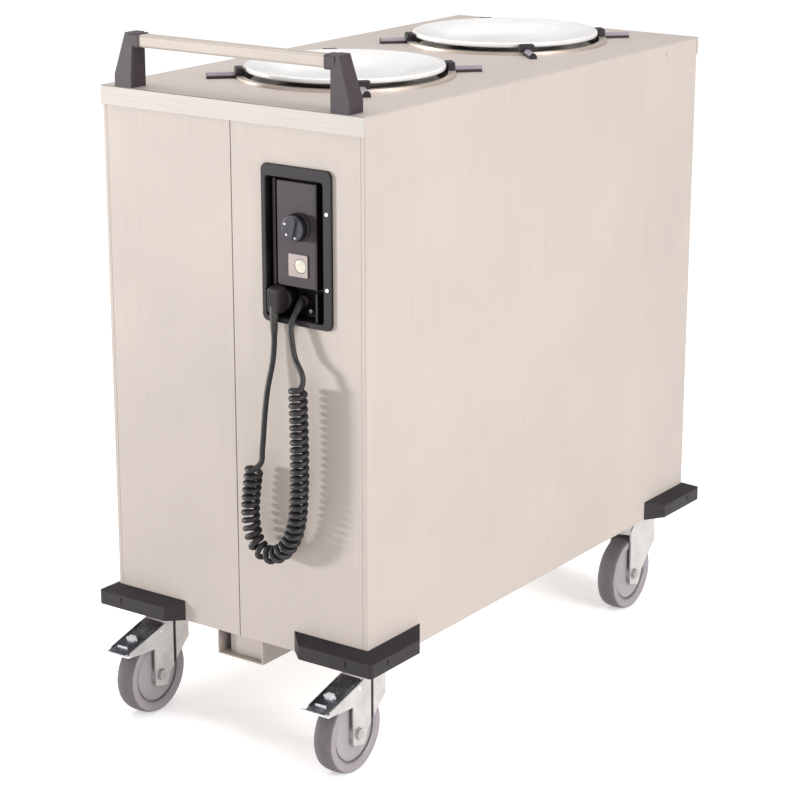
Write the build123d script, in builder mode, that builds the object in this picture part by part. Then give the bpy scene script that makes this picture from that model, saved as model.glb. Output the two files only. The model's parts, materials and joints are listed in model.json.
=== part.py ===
from build123d import *
import math
import os

os.makedirs("parts", exist_ok=True)

# ---------------------------------------------------------------- driving dimensions, mm
# The origin is on the floor under the middle of the cabinet. +X is the width, -Y is the
# front with the push handle and the control panel, +Z is up.
running_gap = 0.3  # between pieces that move past each other
shaft_gap = 0.05  # radial, between a shaft and its hole
sheet = 1.5  # stainless sheet

cabinet_width = 470.0
cabinet_length = 920.0
worktop_height = 968.0
lip_drop = 28.0
lip_thickness = 3.5
corner_radius = 3.0
corner_return = 8.0
seam_return = 15.0
seam_x = 1.75
seam_gap = 1.5
corner_seam = 0.3

# Wells
well_front_inset = 272.0  # from the cabinet's front to the front well's middle
well_rear_inset = 214.0
liner_radius = 152.0  # inside
liner_wall = 1.0
collar_width = 10.0
collar_height = 4.0
liner_hole_gap = 0.6
slot_count = 3
slot_width = 12.6
slot_rise = 12.0  # above the base
slot_reach = 10.0
slot_clearance = 2.0  # above the spider at rest
plate_diameter = 298.0
plate_height = 24.0
plate_thickness = 4.0
plate_foot_lift = 1.5
plate_foot_radius = 82.0
plate_foot_width = 4.0
plate_rim_width = 40.0
plate_rim_rise = 7.0
plate_count = 1
plate_edge = 7.5  # height of the rim's rounded edge
plate_lip = 2.0
plate_rim_height = 17.0  # top plate's rim above the worktop
carrier_disc_radius = 140.0
carrier_disc_thickness = 3.0
carrier_depth = 190.0  # from the disc down to the spider
arm_thickness = 8.0
arm_reach = 172.0
stem_radius = 12.0
spring_radius = 8.0
spring_wall = 2.0
spring_place = 164.0  # from the well's centre line
hanger_height = 34.0  # hangers below the worktop's surface
hanger_width = 14.0
hanger_thickness = 4.0
hanger_margin = 0.8
heater_radius = 110.0
heater_width = 9.0
heater_height = 7.0

# Plate guides
guide_angles = (45.0, 135.0, 225.0, 315.0)
guide_width = 12.0
guide_inner = 150.3
guide_outer = 205.0
guide_height = 8.5
guide_post_top = 16.0  # above the worktop
guide_clamp_depth = 13.0
guide_clamp_width = 24.0
guide_clamp_corner = 3.0
guide_edge = 1.5

# Push handle
bracket_inset = 25.0  # from the cabinet's side
bracket_base_width = 34.0
bracket_proud = 1.0  # in front of the cabinet
bracket_depth = 32.0
bracket_height = 78.0
bracket_foot = 17.0
bracket_corner = 3.0
bracket_top_width = 17.0
bracket_top_depth = 26.0
bracket_top_set_back = 3.5
bracket_lean = 19.0
sleeve_length = 9.0
sleeve_wall = 1.6
bar_height = 18.0
bar_depth = 22.0
bar_set_back = 4.0  # behind the brackets' front
bar_wall = 1.5
bar_corner = 4.0
bar_fit = 0.1  # between the bar and its sleeve

# Control recess
bezel_inset = 117.0  # from the cabinet's side to the bezel's middle
bezel_drop = 192.5  # from the worktop to the bezel's middle
bezel_width = 122.0
bezel_height = 225.0
bezel_depth = 4.0
bezel_corner = 10.0
bezel_edge = 1.2
border_left = 8.0
border_right = 14.5
border_bottom = 8.0
border_top = 17.4
opening_corner = 5.0
tray_wall = 2.0
tray_depth = 16.0  # from the bezel's face to the upper floor
bay_depth = 28.0  # from the bezel's face to the floor of the cable bay
bay_height = 43.0
cutout_gap = 0.5
console_shift = 3.0  # to the left of the bezel's middle
console_rise = 3.0  # above the cable bay
console_width = 67.0
console_height = 149.0
console_depth = 11.0
console_corner = 3.0
console_edge = 1.0
knob_rise = 86.5  # above the console's lower edge
knob_shift = 4.0  # to the right of the console's middle
knob_radius = 20.5
knob_skirt = 3.0
knob_height = 17.0
knob_drum_radius = 19.5
knob_drum_height = 11.5
knob_taper = 3.0  # degrees
knob_grip_width = 9.0
knob_grip_length = 30.8
knob_grip_corner = 4.0
knob_shaft_radius = 3.0
knob_shaft_length = 8.0
knob_turn = 35.0
button_rise = 31.5  # above the console's lower edge
button_shift = 8.0  # to the right of the console's middle
button_radius = 10.0
button_proud = 1.0
button_length = 9.0
button_edge = 1.5
socket_floor = 1.0  # of the console under the button and the knob's shaft
screw_set_back = 7.5  # from the bezel's right edge
screw_upper_rise = 65.5  # above the bezel's middle
screw_lower_drop = 39.5  # below it
screw_radius = 2.6
screw_head = 1.2
frame_width = 33.0
frame_height = 32.0
frame_proud = 1.5
frame_shift = 4.5  # to the left of the button

# Plug, parking socket and cord
plug_inset = 18.0  # from the opening's left edge
plug_rise = 24.5  # above the opening's lower edge
plug_disc_radius = 17.2
plug_disc_depth = 8.0
plug_grip_width = 22.0
plug_grip_above = 20.0  # above the plug's middle
plug_grip_below = 19.0
plug_grip_depth = 19.2
plug_grip_corner = 5.0
plug_pin_radius = 2.4
plug_pin_length = 8.0
plug_pin_spacing = 19.0
dock_depth = 11.5
relief_set_back = 4.3  # from the grip's front
relief_start = 23.0  # below the plug's middle
relief_end = 48.0
relief_root = 14.0  # inside the grip
relief_radius = 6.0
relief_lip = 1.0  # round the cord
cord_radius = 3.5
gland_shift = 4.4  # to the left of the bezel's middle
gland_rise = 23.5  # above the opening's lower edge
gland_nut_radius = 9.0
gland_nut_depth = 8.0
gland_reach = 24.0  # from the bay's floor to the sleeve's end
gland_fall = 14.0
gland_sleeve_length = 20.0
curl_radius = 9.5
curl_turns = 35
curl_sides = 5
coil_out = 25.0  # from the cabinet's front to the coil's middle line

# Under the cabinet
channel_width = 85.0
channel_depth = 38.0
channel_wall = 2.0
channel_end_gap = 1.0
end_plate_set_back = 12.0
end_plate_notch = 15.5
bumper_proud = 22.3
bumper_edge_rise = 22.0  # above the cabinet's underside
bumper_rise = 32.0
bumper_front_reach = 132.0
bumper_front_taper = 24.0
bumper_side_reach = 130.0
bumper_side_taper = 32.0
bumper_corner = 6.0

# Casters
caster_inset_x = 47.0
caster_inset_y = 62.0
wheel_radius = 62.5
wheel_width = 33.0
wheel_clearance = 29.5  # under the fork's crown
caster_trail = 49.0
rim_radius = 46.0
rim_half_width = 13.0
hub_boss_radius = 14.0
hub_boss_width = 35.0
hub_disc_half = 12.0
hub_disc_radius = 43.0
hub_groove_half = 8.0
axle_radius = 5.0
axle_head_radius = 9.0
axle_head_depth = 5.0
plate_sheet = 3.5
plate_size_x = 84.0
plate_size_y = 104.0
plate_corner = 5.0
race_radius = 24.0
race_depth = 4.0
cup_radius = 22.0
cup_height = 4.7
pin_radius = 6.0
pin_head_radius = 10.0
pin_head_depth = 4.0
head_clearance = 2.0  # round the kingpin's head, in the base
fork_outer = 21.0
fork_sheet = 3.0
crown_sheet = 3.0
crown_front = 31.0  # from the kingpin
crown_rear = 18.0
leg_corner = 6.0
groove_front = 18.5  # from the kingpin
groove_rear = 12.0
groove_depth = 1.0
pedal_pivot_front = 46.0  # from the kingpin
pedal_pivot_drop = 25.5  # below the crown's top
pedal_pin_radius = 2.5
pedal_boss_radius = 4.5
pedal_sheet = 2.5
pedal_lip_width = 52.0
bolt_across = 10.0
bolt_head = 3.5
bolt_spacing_x = 60.0
bolt_spacing_y = 80.0
rivet_inset = 102.0  # from the cabinet's rear
rivet_drop = 18.0  # below the worktop
rivet_radius = 3.0

# Side outlines of the fork and the pedal, as (in front of the kingpin, below the crown's top)
leg_outline = [(62, 110.5), (35, 117.5), (26, 95.5), (17, 87.5), (4, 72.5), (-18, 53.5)]
wing_outline = [(36, 15), (116, 37.5), (116, 45.5), (83, 48.5), (62, 49.5)]
brow_outline = [(52, 4), (62, 16)]
pedal_top = [(38, 14), (119, 37.5), (126, 39.2), (132, 37.9)]
pedal_lip = [(124, 38.7), (126, 39.2), (132, 37.9), (132, 40.9), (126, 41.9), (124, 41.5)]
pedal_shoe = [(60, 30.1), (72, 30.1), (72, 25.5), (60, 22)]
pedal_rib = [(43, 25.5), (49, 25.5), (49, 18.5), (43, 17)]

# ---------------------------------------------------------------- worked-out places
half_width = cabinet_width / 2
half_length = cabinet_length / 2
front_y = -half_length
rear_y = half_length
axle_z = wheel_radius
crown_top = 2 * wheel_radius + wheel_clearance + crown_sheet
swivel_gap_z = crown_top + cup_height
race_bottom = swivel_gap_z + running_gap
plate_bottom = race_bottom + race_depth
plate_top = plate_bottom + plate_sheet
cabinet_bottom = plate_top
panel_top = worktop_height - sheet
panel_height = panel_top - cabinet_bottom
base_top = cabinet_bottom + sheet
wells = {"front": front_y + well_front_inset, "rear": rear_y - well_rear_inset}
corners = {"front_left": (-1, -1), "front_right": (1, -1), "rear_left": (-1, 1), "rear_right": (1, 1)}
caster_x = half_width - caster_inset_x
caster_y = half_length - caster_inset_y
channel_bottom = cabinet_bottom - channel_depth

bracket_outer_x = half_width - bracket_inset
bracket_front_y = front_y - bracket_proud
bar_front_y = bracket_front_y + bar_set_back

bezel_x = half_width - bezel_inset
bezel_z = worktop_height - bezel_drop
bezel_right = bezel_x + bezel_width / 2
opening_left = bezel_x - bezel_width / 2 + border_left
opening_right = bezel_right - border_right
opening_bottom = bezel_z - bezel_height / 2 + border_bottom
opening_top = bezel_z + bezel_height / 2 - border_top
bay_top = opening_bottom + bay_height
console_x = bezel_x - console_shift
console_bottom = bay_top + console_rise
knob_x = console_x + knob_shift
knob_z = console_bottom + knob_rise
button_x = console_x + button_shift
button_z = console_bottom + button_rise
plug_x = opening_left + plug_inset
plug_z = opening_bottom + plug_rise
gland_x = bezel_x - gland_shift
gland_z = opening_bottom + gland_rise
coil_y = front_y - coil_out


def box_between(low, high, mode=Mode.ADD):
    """A block between two opposite corners, in the part that is being built."""
    size = [b - a for a, b in zip(low, high)]
    middle = [(a + b) / 2 for a, b in zip(low, high)]
    with Locations(tuple(middle)):
        Box(*size, mode=mode)


# ---------------------------------------------------------------- cabinet
liner_outer = liner_radius + liner_wall
with BuildPart() as worktop:
    with BuildSketch(Plane.XY.offset(panel_top)):
        Rectangle(cabinet_width, cabinet_length + 2 * lip_thickness)
        with Locations(*[(0, well_y) for well_y in wells.values()]):
            Circle(liner_outer + liner_hole_gap, mode=Mode.SUBTRACT)
    extrude(amount=sheet)
    with BuildSketch(Plane.XY.offset(worktop_height - lip_drop)):
        with Locations((0, front_y - lip_thickness / 2), (0, rear_y + lip_thickness / 2)):
            Rectangle(cabinet_width, lip_thickness)
    extrude(amount=lip_drop)
    fillet(worktop.edges().filter_by(Axis.X).group_by(Axis.Z)[-1], sheet * 0.8)
worktop.part.label = "worktop"
export_step(worktop.part, "parts/worktop.step")

with BuildPart() as side_panel_right:
    with BuildSketch(Plane.XY.offset(cabinet_bottom)) as side_plan:
        inner_x = half_width - sheet
        return_x = half_width - corner_return
        Polygon(
            (half_width, front_y),
            (half_width, rear_y),
            (return_x, rear_y),
            (return_x, rear_y - sheet),
            (inner_x, rear_y - sheet),
            (inner_x, front_y + sheet),
            (return_x, front_y + sheet),
            (return_x, front_y),
            align=None,
        )
        fillet(side_plan.vertices().group_by(Axis.X)[-1], corner_radius)
    extrude(amount=panel_height)
side_panel_right.part.label = "side_panel_right"
export_step(side_panel_right.part, "parts/side_panel_right.step")

with BuildPart() as side_panel_left:
    mirror(side_panel_right.part, about=Plane.YZ)
side_panel_left.part.label = "side_panel_left"
export_step(side_panel_left.part, "parts/side_panel_left.step")

front_edge_x = half_width - corner_return - corner_seam


def front_sheet(edge_x, seam_edge_x):
    """A front panel folded back along the middle seam, seen from above."""
    turn = 1 if edge_x > seam_edge_x else -1
    with BuildPart() as panel:
        with BuildSketch(Plane.XY.offset(cabinet_bottom)):
            Polygon(
                (seam_edge_x, front_y),
                (edge_x, front_y),
                (edge_x, front_y + sheet),
                (seam_edge_x + turn * sheet, front_y + sheet),
                (seam_edge_x + turn * sheet, front_y + seam_return),
                (seam_edge_x, front_y + seam_return),
                align=None,
            )
        extrude(amount=panel_height)
    return panel.part


with BuildPart() as front_panel_left:
    add(front_sheet(-front_edge_x, seam_x - seam_gap / 2))
front_panel_left.part.label = "front_panel_left"
export_step(front_panel_left.part, "parts/front_panel_left.step")

opening_x = (opening_left + opening_right) / 2
opening_z = (opening_bottom + opening_top) / 2
opening_width = opening_right - opening_left
opening_height = opening_top - opening_bottom
tray_width = opening_width + 2 * tray_wall
tray_height = opening_height + 2 * tray_wall
with BuildPart() as front_panel_right:
    add(front_sheet(front_edge_x, seam_x + seam_gap / 2))
    with BuildSketch(Plane.XZ.offset(half_length)):
        with Locations((opening_x, opening_z)):
            RectangleRounded(
                tray_width + 2 * cutout_gap, tray_height + 2 * cutout_gap, opening_corner + tray_wall
            )
    extrude(amount=-sheet, mode=Mode.SUBTRACT)
front_panel_right.part.label = "front_panel_right"
export_step(front_panel_right.part, "parts/front_panel_right.step")

with BuildPart() as rear_panel:
    box_between((-front_edge_x, rear_y - sheet, cabinet_bottom), (front_edge_x, rear_y, panel_top))
rear_panel.part.label = "rear_panel"
export_step(rear_panel.part, "parts/rear_panel.step")

with BuildPart() as base_pan:
    box_between(
        (sheet - half_width, front_y + sheet, cabinet_bottom),
        (half_width - sheet, rear_y - sheet, base_top),
    )
    # The pan is notched for the folded edges of the two front panels.
    box_between(
        (seam_x - seam_gap / 2 - sheet, front_y + sheet, cabinet_bottom),
        (seam_x + seam_gap / 2 + sheet, front_y + seam_return, base_top),
        mode=Mode.SUBTRACT,
    )
    with BuildSketch(Plane.XY.offset(cabinet_bottom)):
        with Locations(*[(turn_x * caster_x, turn_y * caster_y) for turn_x, turn_y in corners.values()]):
            Circle(pin_head_radius + head_clearance)
    extrude(amount=sheet, mode=Mode.SUBTRACT)
base_pan.part.label = "base_pan"
export_step(base_pan.part, "parts/base_pan.step")

channel_half = channel_width / 2
with BuildPart() as base_channel:
    with BuildSketch(Plane.XZ.offset(half_length - channel_end_gap)):
        with Locations((0, (channel_bottom + cabinet_bottom) / 2)):
            Rectangle(channel_width, cabinet_bottom - channel_bottom)
        with Locations((0, (channel_bottom + channel_wall + cabinet_bottom) / 2)):
            Rectangle(
                channel_width - 2 * channel_wall, channel_depth - channel_wall, mode=Mode.SUBTRACT
            )
    extrude(amount=-(cabinet_length - 2 * channel_end_gap))
base_channel.part.label = "base_channel"
export_step(base_channel.part, "parts/base_channel.step")

with BuildPart() as channel_end_plates:
    for end_y, turn in ((front_y + channel_end_gap, 1), (rear_y - channel_end_gap, -1)):
        y_a = end_y + turn * end_plate_set_back
        y_b = y_a + turn * sheet
        box_between(
            (end_plate_notch - channel_half, min(y_a, y_b), channel_bottom + channel_wall),
            (channel_half - channel_wall, max(y_a, y_b), cabinet_bottom),
        )
channel_end_plates.part.label = "channel_end_plates"
export_step(channel_end_plates.part, "parts/channel_end_plates.step")


bumper_bottom = cabinet_bottom + running_gap
bumper_edge = cabinet_bottom + bumper_edge_rise
bumper_top = cabinet_bottom + bumper_rise


def bumper(turn_x, turn_y):
    """One L-shaped corner bumper with tapered ends and a top that slopes up to the panels."""
    out_x = half_width + bumper_proud
    out_y = half_length + bumper_proud
    outline = [
        (half_width, half_length),
        (half_width - bumper_front_reach, half_length),
        (half_width - bumper_front_reach + bumper_front_taper, out_y),
        (out_x, out_y),
        (out_x, half_length - bumper_side_reach + bumper_side_taper),
        (half_width, half_length - bumper_side_reach),
    ]
    slope = [(0, bumper_top), (bumper_proud, bumper_edge), (bumper_proud, bumper_top)]
    with BuildPart() as block:
        with BuildSketch(Plane.XY.offset(bumper_bottom)) as plan:
            Polygon(*[(turn_x * x, turn_y * y) for x, y in outline], align=None)
            outer = plan.vertices().sort_by_distance((turn_x * out_x, turn_y * out_y, bumper_bottom))[0]
            fillet(outer, bumper_corner)
        extrude(amount=bumper_top - bumper_bottom)
        with BuildSketch(Plane.YZ):
            Polygon(*[(turn_y * (half_length + d), z) for d, z in slope], align=None)
        extrude(amount=turn_x * (out_x + 1), mode=Mode.SUBTRACT)
        with BuildSketch(Plane.XZ):
            Polygon(*[(turn_x * (half_width + d), z) for d, z in slope], align=None)
        extrude(amount=-turn_y * (out_y + 1), mode=Mode.SUBTRACT)
    return block.part


bumpers = [bumper(turn_x, turn_y) for turn_x, turn_y in corners.values()]
with BuildPart() as corner_bumpers:
    for block in bumpers:
        add(block)
corner_bumpers.part.label = "corner_bumpers"
export_step(corner_bumpers.part, "parts/corner_bumpers.step")

# ---------------------------------------------------------------- push handle
bar_top = worktop_height + bracket_height - sleeve_wall
bar_z = bar_top - bar_height / 2
bar_y = bar_front_y + bar_depth / 2
bracket_top_outer_x = bracket_outer_x - bracket_lean
bracket_top_inner_x = bracket_top_outer_x - bracket_top_width
bracket_top_front_y = bracket_front_y + bracket_top_set_back
bracket_base_middle = (bracket_outer_x - bracket_base_width / 2, bracket_front_y + bracket_depth / 2)
bracket_top_middle = (
    bracket_top_outer_x - bracket_top_width / 2,
    bracket_top_front_y + bracket_top_depth / 2,
)
bar_half_length = bracket_top_inner_x - running_gap
sleeve_end_x = bracket_top_inner_x - sleeve_length


def bracket_section(height, middle, width, depth):
    """A level section of the bracket with its corners cut off, as a face."""
    x = width / 2
    y = depth / 2
    cut = bracket_corner * 0.6
    quarter = [(x, y - cut), (x - cut, y)]
    outline = quarter + [(-a, b) for a, b in reversed(quarter)]
    outline += [(-a, -b) for a, b in quarter] + [(a, -b) for a, b in reversed(quarter)]
    with BuildSketch(Plane.XY.offset(height)) as section:
        with Locations(middle):
            Polygon(*outline, align=None)
    return section.sketch


with BuildPart() as handle_bracket_right:
    foot = bracket_section(worktop_height, bracket_base_middle, bracket_base_width, bracket_depth)
    shoulder_z = worktop_height + bracket_foot
    shoulder = bracket_section(shoulder_z, bracket_base_middle, bracket_base_width, bracket_depth)
    top_z = worktop_height + bracket_height
    top = bracket_section(top_z, bracket_top_middle, bracket_top_width, bracket_top_depth)
    extrude(foot, amount=bracket_foot)
    loft([shoulder, top], ruled=True)
    sleeve_height = bar_height + 2 * sleeve_wall
    with BuildSketch(Plane.YZ.offset(sleeve_end_x)):
        with Locations((bar_y, bar_z)):
            RectangleRounded(bar_depth + 2 * sleeve_wall, sleeve_height, bar_corner)
    extrude(amount=sleeve_length + bracket_top_width / 2)
    with BuildSketch(Plane.YZ.offset(sleeve_end_x)):
        with Locations((bar_y, bar_z)):
            RectangleRounded(bar_depth, bar_height, bar_corner - sleeve_wall / 2)
    extrude(amount=sleeve_length, mode=Mode.SUBTRACT)
handle_bracket_right.part.label = "handle_bracket_right"
export_step(handle_bracket_right.part, "parts/handle_bracket_right.step")

with BuildPart() as handle_bracket_left:
    mirror(handle_bracket_right.part, about=Plane.YZ)
handle_bracket_left.part.label = "handle_bracket_left"
export_step(handle_bracket_left.part, "parts/handle_bracket_left.step")

with BuildPart() as handle_bar:
    with BuildSketch(Plane.YZ.offset(-bar_half_length)):
        with Locations((bar_y, bar_z)):
            RectangleRounded(bar_depth - 2 * bar_fit, bar_height - 2 * bar_fit, bar_corner)
            RectangleRounded(
                bar_depth - 2 * bar_wall, bar_height - 2 * bar_wall, bar_corner - bar_wall, mode=Mode.SUBTRACT
            )
    extrude(amount=2 * bar_half_length)
handle_bar.part.label = "handle_bar"
export_step(handle_bar.part, "parts/handle_bar.step")

# ---------------------------------------------------------------- control recess
bezel_face = half_length + bezel_depth  # distance of the bezel's face in front of the middle
upper_floor = bezel_face - tray_depth
bay_floor = bezel_face - bay_depth
with BuildPart() as control_housing:
    with BuildSketch(Plane.XZ.offset(bezel_face)):
        with Locations((bezel_x, bezel_z)):
            RectangleRounded(bezel_width, bezel_height, bezel_corner)
    extrude(amount=-bezel_depth)
    with BuildSketch(Plane.XZ.offset(half_length)):
        with Locations((opening_x, opening_z)):
            RectangleRounded(tray_width, tray_height, opening_corner + tray_wall)
    extrude(amount=-(tray_depth - bezel_depth + tray_wall))
    bay_half = (bay_top + tray_wall - (opening_bottom - tray_wall)) / 2
    with BuildSketch(Plane.XZ.offset(half_length)):
        with Locations((opening_x, opening_bottom - tray_wall + bay_half)):
            RectangleRounded(tray_width, 2 * bay_half, opening_corner + tray_wall)
    extrude(amount=-(bay_depth - bezel_depth + tray_wall))
    with BuildSketch(Plane.XZ.offset(bezel_face)):
        with Locations((opening_x, opening_z)):
            RectangleRounded(opening_width, opening_height, opening_corner)
    extrude(amount=-tray_depth, mode=Mode.SUBTRACT)
    with BuildSketch(Plane.XZ.offset(bezel_face)):
        with Locations((opening_x, (opening_bottom + bay_top) / 2)):
            RectangleRounded(opening_width, bay_top - opening_bottom, opening_corner - 1)
    extrude(amount=-bay_depth, mode=Mode.SUBTRACT)
    chamfer(control_housing.faces().sort_by(Axis.Y)[0].edges(), bezel_edge)
control_housing.part.label = "control_housing"
export_step(control_housing.part, "parts/control_housing.step")

console_face = upper_floor + console_depth
with BuildPart() as control_console:
    with BuildSketch(Plane.XZ.offset(console_face)):
        with Locations((console_x, console_bottom + console_height / 2)):
            RectangleRounded(console_width, console_height, console_corner)
    extrude(amount=-console_depth)
    chamfer(control_console.faces().sort_by(Axis.Y)[0].edges(), console_edge)
    with BuildSketch(Plane.XZ.offset(console_face)):
        with Locations((button_x - frame_shift, button_z)):
            RectangleRounded(frame_width, frame_height, 2)
    extrude(amount=frame_proud)
    with BuildSketch(Plane.XZ.offset(console_face + frame_proud)):
        with Locations((button_x, button_z)):
            Circle(button_radius + running_gap)
    extrude(amount=-(frame_proud + console_depth - socket_floor), mode=Mode.SUBTRACT)
    with BuildSketch(Plane.XZ.offset(console_face)):
        with Locations((knob_x, knob_z)):
            Circle(knob_shaft_radius + shaft_gap)
    extrude(amount=-(console_depth - socket_floor), mode=Mode.SUBTRACT)
control_console.part.label = "control_console"
export_step(control_console.part, "parts/control_console.step")

knob_back = console_face + running_gap
with BuildPart() as thermostat_knob:
    with BuildSketch(Plane.XZ.offset(knob_back)):
        with Locations((knob_x, knob_z)):
            Circle(knob_radius)
    extrude(amount=knob_skirt)
    with BuildSketch(Plane.XZ.offset(knob_back + knob_skirt)):
        with Locations((knob_x, knob_z)):
            Circle(knob_drum_radius)
    extrude(amount=knob_drum_height, taper=knob_taper)
    with BuildSketch(Plane.XZ.offset(knob_back + knob_skirt)):
        with Locations(Location((knob_x, knob_z), knob_turn)):
            RectangleRounded(knob_grip_width, knob_grip_length, knob_grip_corner)
    extrude(amount=knob_height - knob_skirt)
    with BuildSketch(Plane.XZ.offset(knob_back)):
        with Locations((knob_x, knob_z)):
            Circle(knob_shaft_radius)
    extrude(amount=-knob_shaft_length)
thermostat_knob.part.label = "thermostat_knob"
export_step(thermostat_knob.part, "parts/thermostat_knob.step")

button_face = console_face + frame_proud + button_proud
with BuildPart() as power_button:
    with BuildSketch(Plane.XZ.offset(button_face)):
        with Locations((button_x, button_z)):
            Circle(button_radius)
    extrude(amount=-button_length)
    chamfer(power_button.edges().group_by(Axis.Y)[0], button_edge)
power_button.part.label = "power_button"
export_step(power_button.part, "parts/power_button.step")

# ---------------------------------------------------------------- plug and its parking socket
dock_face = bay_floor + dock_depth
plug_back = dock_face + running_gap
pin_places = [(plug_x - plug_pin_spacing / 2, plug_z), (plug_x + plug_pin_spacing / 2, plug_z)]
with BuildPart() as plug_dock:
    with BuildSketch(Plane.XZ.offset(bay_floor)):
        with Locations((plug_x, plug_z)):
            Circle(plug_disc_radius)
    extrude(amount=dock_depth)
    with BuildSketch(Plane.XZ.offset(dock_face)):
        with Locations(*pin_places):
            Circle(plug_pin_radius + running_gap)
    extrude(amount=-(plug_pin_length + running_gap), mode=Mode.SUBTRACT)
plug_dock.part.label = "plug_dock"
export_step(plug_dock.part, "parts/plug_dock.step")

grip_back = plug_back + plug_disc_depth
relief_y = relief_set_back - grip_back - plug_grip_depth
relief_end_z = plug_z - relief_end
relief_start_z = plug_z - relief_start
with BuildPart() as plug:
    with BuildSketch(Plane.XZ.offset(plug_back)):
        with Locations((plug_x, plug_z)):
            Circle(plug_disc_radius)
    extrude(amount=plug_disc_depth)
    with BuildSketch(Plane.XZ.offset(grip_back)):
        with Locations((plug_x, plug_z + (plug_grip_above - plug_grip_below) / 2)):
            RectangleRounded(plug_grip_width, plug_grip_above + plug_grip_below, plug_grip_corner)
    extrude(amount=plug_grip_depth, taper=4)
    with BuildSketch(Plane.XY.offset(relief_start_z)):
        with Locations((plug_x, relief_y)):
            Circle(relief_radius)
    extrude(amount=relief_root)
    with BuildSketch(Plane.XY.offset(relief_end_z)):
        with Locations((plug_x, relief_y)):
            Circle(cord_radius + relief_lip)
    with BuildSketch(Plane.XY.offset(relief_start_z)):
        with Locations((plug_x, relief_y)):
            Circle(relief_radius)
    loft()
    with BuildSketch(Plane.XZ.offset(plug_back)):
        with Locations(*pin_places):
            Circle(plug_pin_radius)
    extrude(amount=-plug_pin_length)
plug.part.label = "plug"
export_step(plug.part, "parts/plug.step")

# ---------------------------------------------------------------- cord
gland_tip = Vector(gland_x, -bay_floor - gland_reach, gland_z - gland_fall)
gland_way = Vector(0, -1, -1).normalized()
gland_root = gland_tip - gland_way * gland_sleeve_length
with BuildPart() as cord_gland:
    with BuildSketch(Plane.XZ.offset(bay_floor)):
        with Locations((gland_x, gland_z)):
            RegularPolygon(gland_nut_radius, 6)
    extrude(amount=gland_nut_depth)
    with BuildSketch(Plane(origin=tuple(gland_root), z_dir=tuple(gland_way))):
        Circle(relief_radius)
    with BuildSketch(Plane(origin=tuple(gland_tip), z_dir=tuple(gland_way))):
        Circle(cord_radius + relief_lip)
    loft()
cord_gland.part.label = "cord_gland"
export_step(cord_gland.part, "parts/cord_gland.step")



def hang(across, out, below):
    """A place beside the bezel's middle line, in front of the cabinet and below the opening."""
    return Vector(bezel_x + across, front_y - out, opening_bottom - below)


# The coil hangs in one plane. Its middle line starts at the top on the right, runs down
# round the bend and up again on the left.
coil_line_points = [
    (15.5, 108.0),
    (19.0, 241.0),
    (-1.0, 330.0),
    (-61.0, 358.0),
    (-75.0, 283.0),
    (-64.0, 225.0),
]
coil_corners = [(hang(x, coil_out, z).X, hang(x, coil_out, z).Z) for x, z in coil_line_points]
coil_corner_radii = [200.0, 42.0, 34.0, 100.0]
tail_length = 2 * cord_radius
coil_start = hang(25.0, coil_out, 97.0)
coil_end = hang(-49.0, coil_out, 212.0)
lead_in_points = [
    gland_tip,
    gland_tip + gland_way * 20.0,
    hang(-0.5, 16.0, 23.0),
    hang(6.0, 18.5, 49.0),
    hang(18.0, 22.0, 68.0),
    hang(25.0, coil_out, 81.0),
    coil_start,
]
lead_out_points = [
    Vector(plug_x, relief_y, relief_end_z),
    Vector(plug_x, relief_y, relief_end_z - 30.0),
    hang(-43.0, 18.0, 101.0),
    hang(-46.0, 21.5, 141.0),
    hang(-47.5, 24.0, 179.0),
    hang(-49.0, coil_out, 196.0),
    coil_end,
]


def cord_path(points, name):
    """Straight runs joined by the largest arcs that the runs allow; prints the radii."""
    runs = [b - a for a, b in zip(points, points[1:])]
    radii = []
    for a, b in zip(runs, runs[1:]):
        half_turn = math.radians(a.get_angle(b)) / 2
        radii.append(0.45 * min(a.length, b.length) / math.tan(half_turn))
    print(name, "radii", [round(r, 1) for r in radii])
    FilletPolyline(*[tuple(p) for p in points], radius=radii)


def lead(points, name):
    """One free stretch of the cord as a tube, with the length of its path."""
    with BuildPart() as tube:
        with BuildLine() as path:
            cord_path(points, name)
        with BuildSketch(Plane(origin=tuple(points[0]), z_dir=tuple(points[1] - points[0]))) as section:
            RegularPolygon(cord_radius, 8)
        sweep(path=path.wire())
    length = path.wire().length
    ratio = tube.part.volume / length / section.sketch.area
    print(name, "length", round(length, 1), "volume ratio", round(ratio, 4))
    return tube.part, length


with BuildPart() as cord_lead_in:
    tube, lead_in_length = lead(lead_in_points, "cord_lead_in")
    add(tube)
cord_lead_in.part.label = "cord_lead_in"
export_step(cord_lead_in.part, "parts/cord_lead_in.step")

with BuildPart() as cord_lead_out:
    tube, lead_out_length = lead(lead_out_points, "cord_lead_out")
    add(tube)
cord_lead_out.part.label = "cord_lead_out"
export_step(cord_lead_out.part, "parts/cord_lead_out.step")

with BuildLine(Plane.XZ.offset(-coil_y)) as coil_axis:
    FilletPolyline(*coil_corners, radius=coil_corner_radii)
coil_line = coil_axis.wire()
axis_length = coil_line.length
curl_pitch = axis_length / (curl_turns + 0.5)


def curl_point(turn):
    """A point of the curled cord and its direction, after so many turns."""
    along = turn * curl_pitch / axis_length
    middle = coil_line.position_at(along)
    forward = coil_line.tangent_at(along)
    outward = Vector(-forward.Z, 0, forward.X)
    toward_front = Vector(0, -1, 0)
    angle = 2 * math.pi * turn
    spoke = outward * math.cos(angle) + toward_front * math.sin(angle)
    spin = toward_front * math.cos(angle) - outward * math.sin(angle)
    direction = forward * curl_pitch + spin * (2 * math.pi * curl_radius)
    return middle + spoke * curl_radius, direction.normalized()


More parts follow.
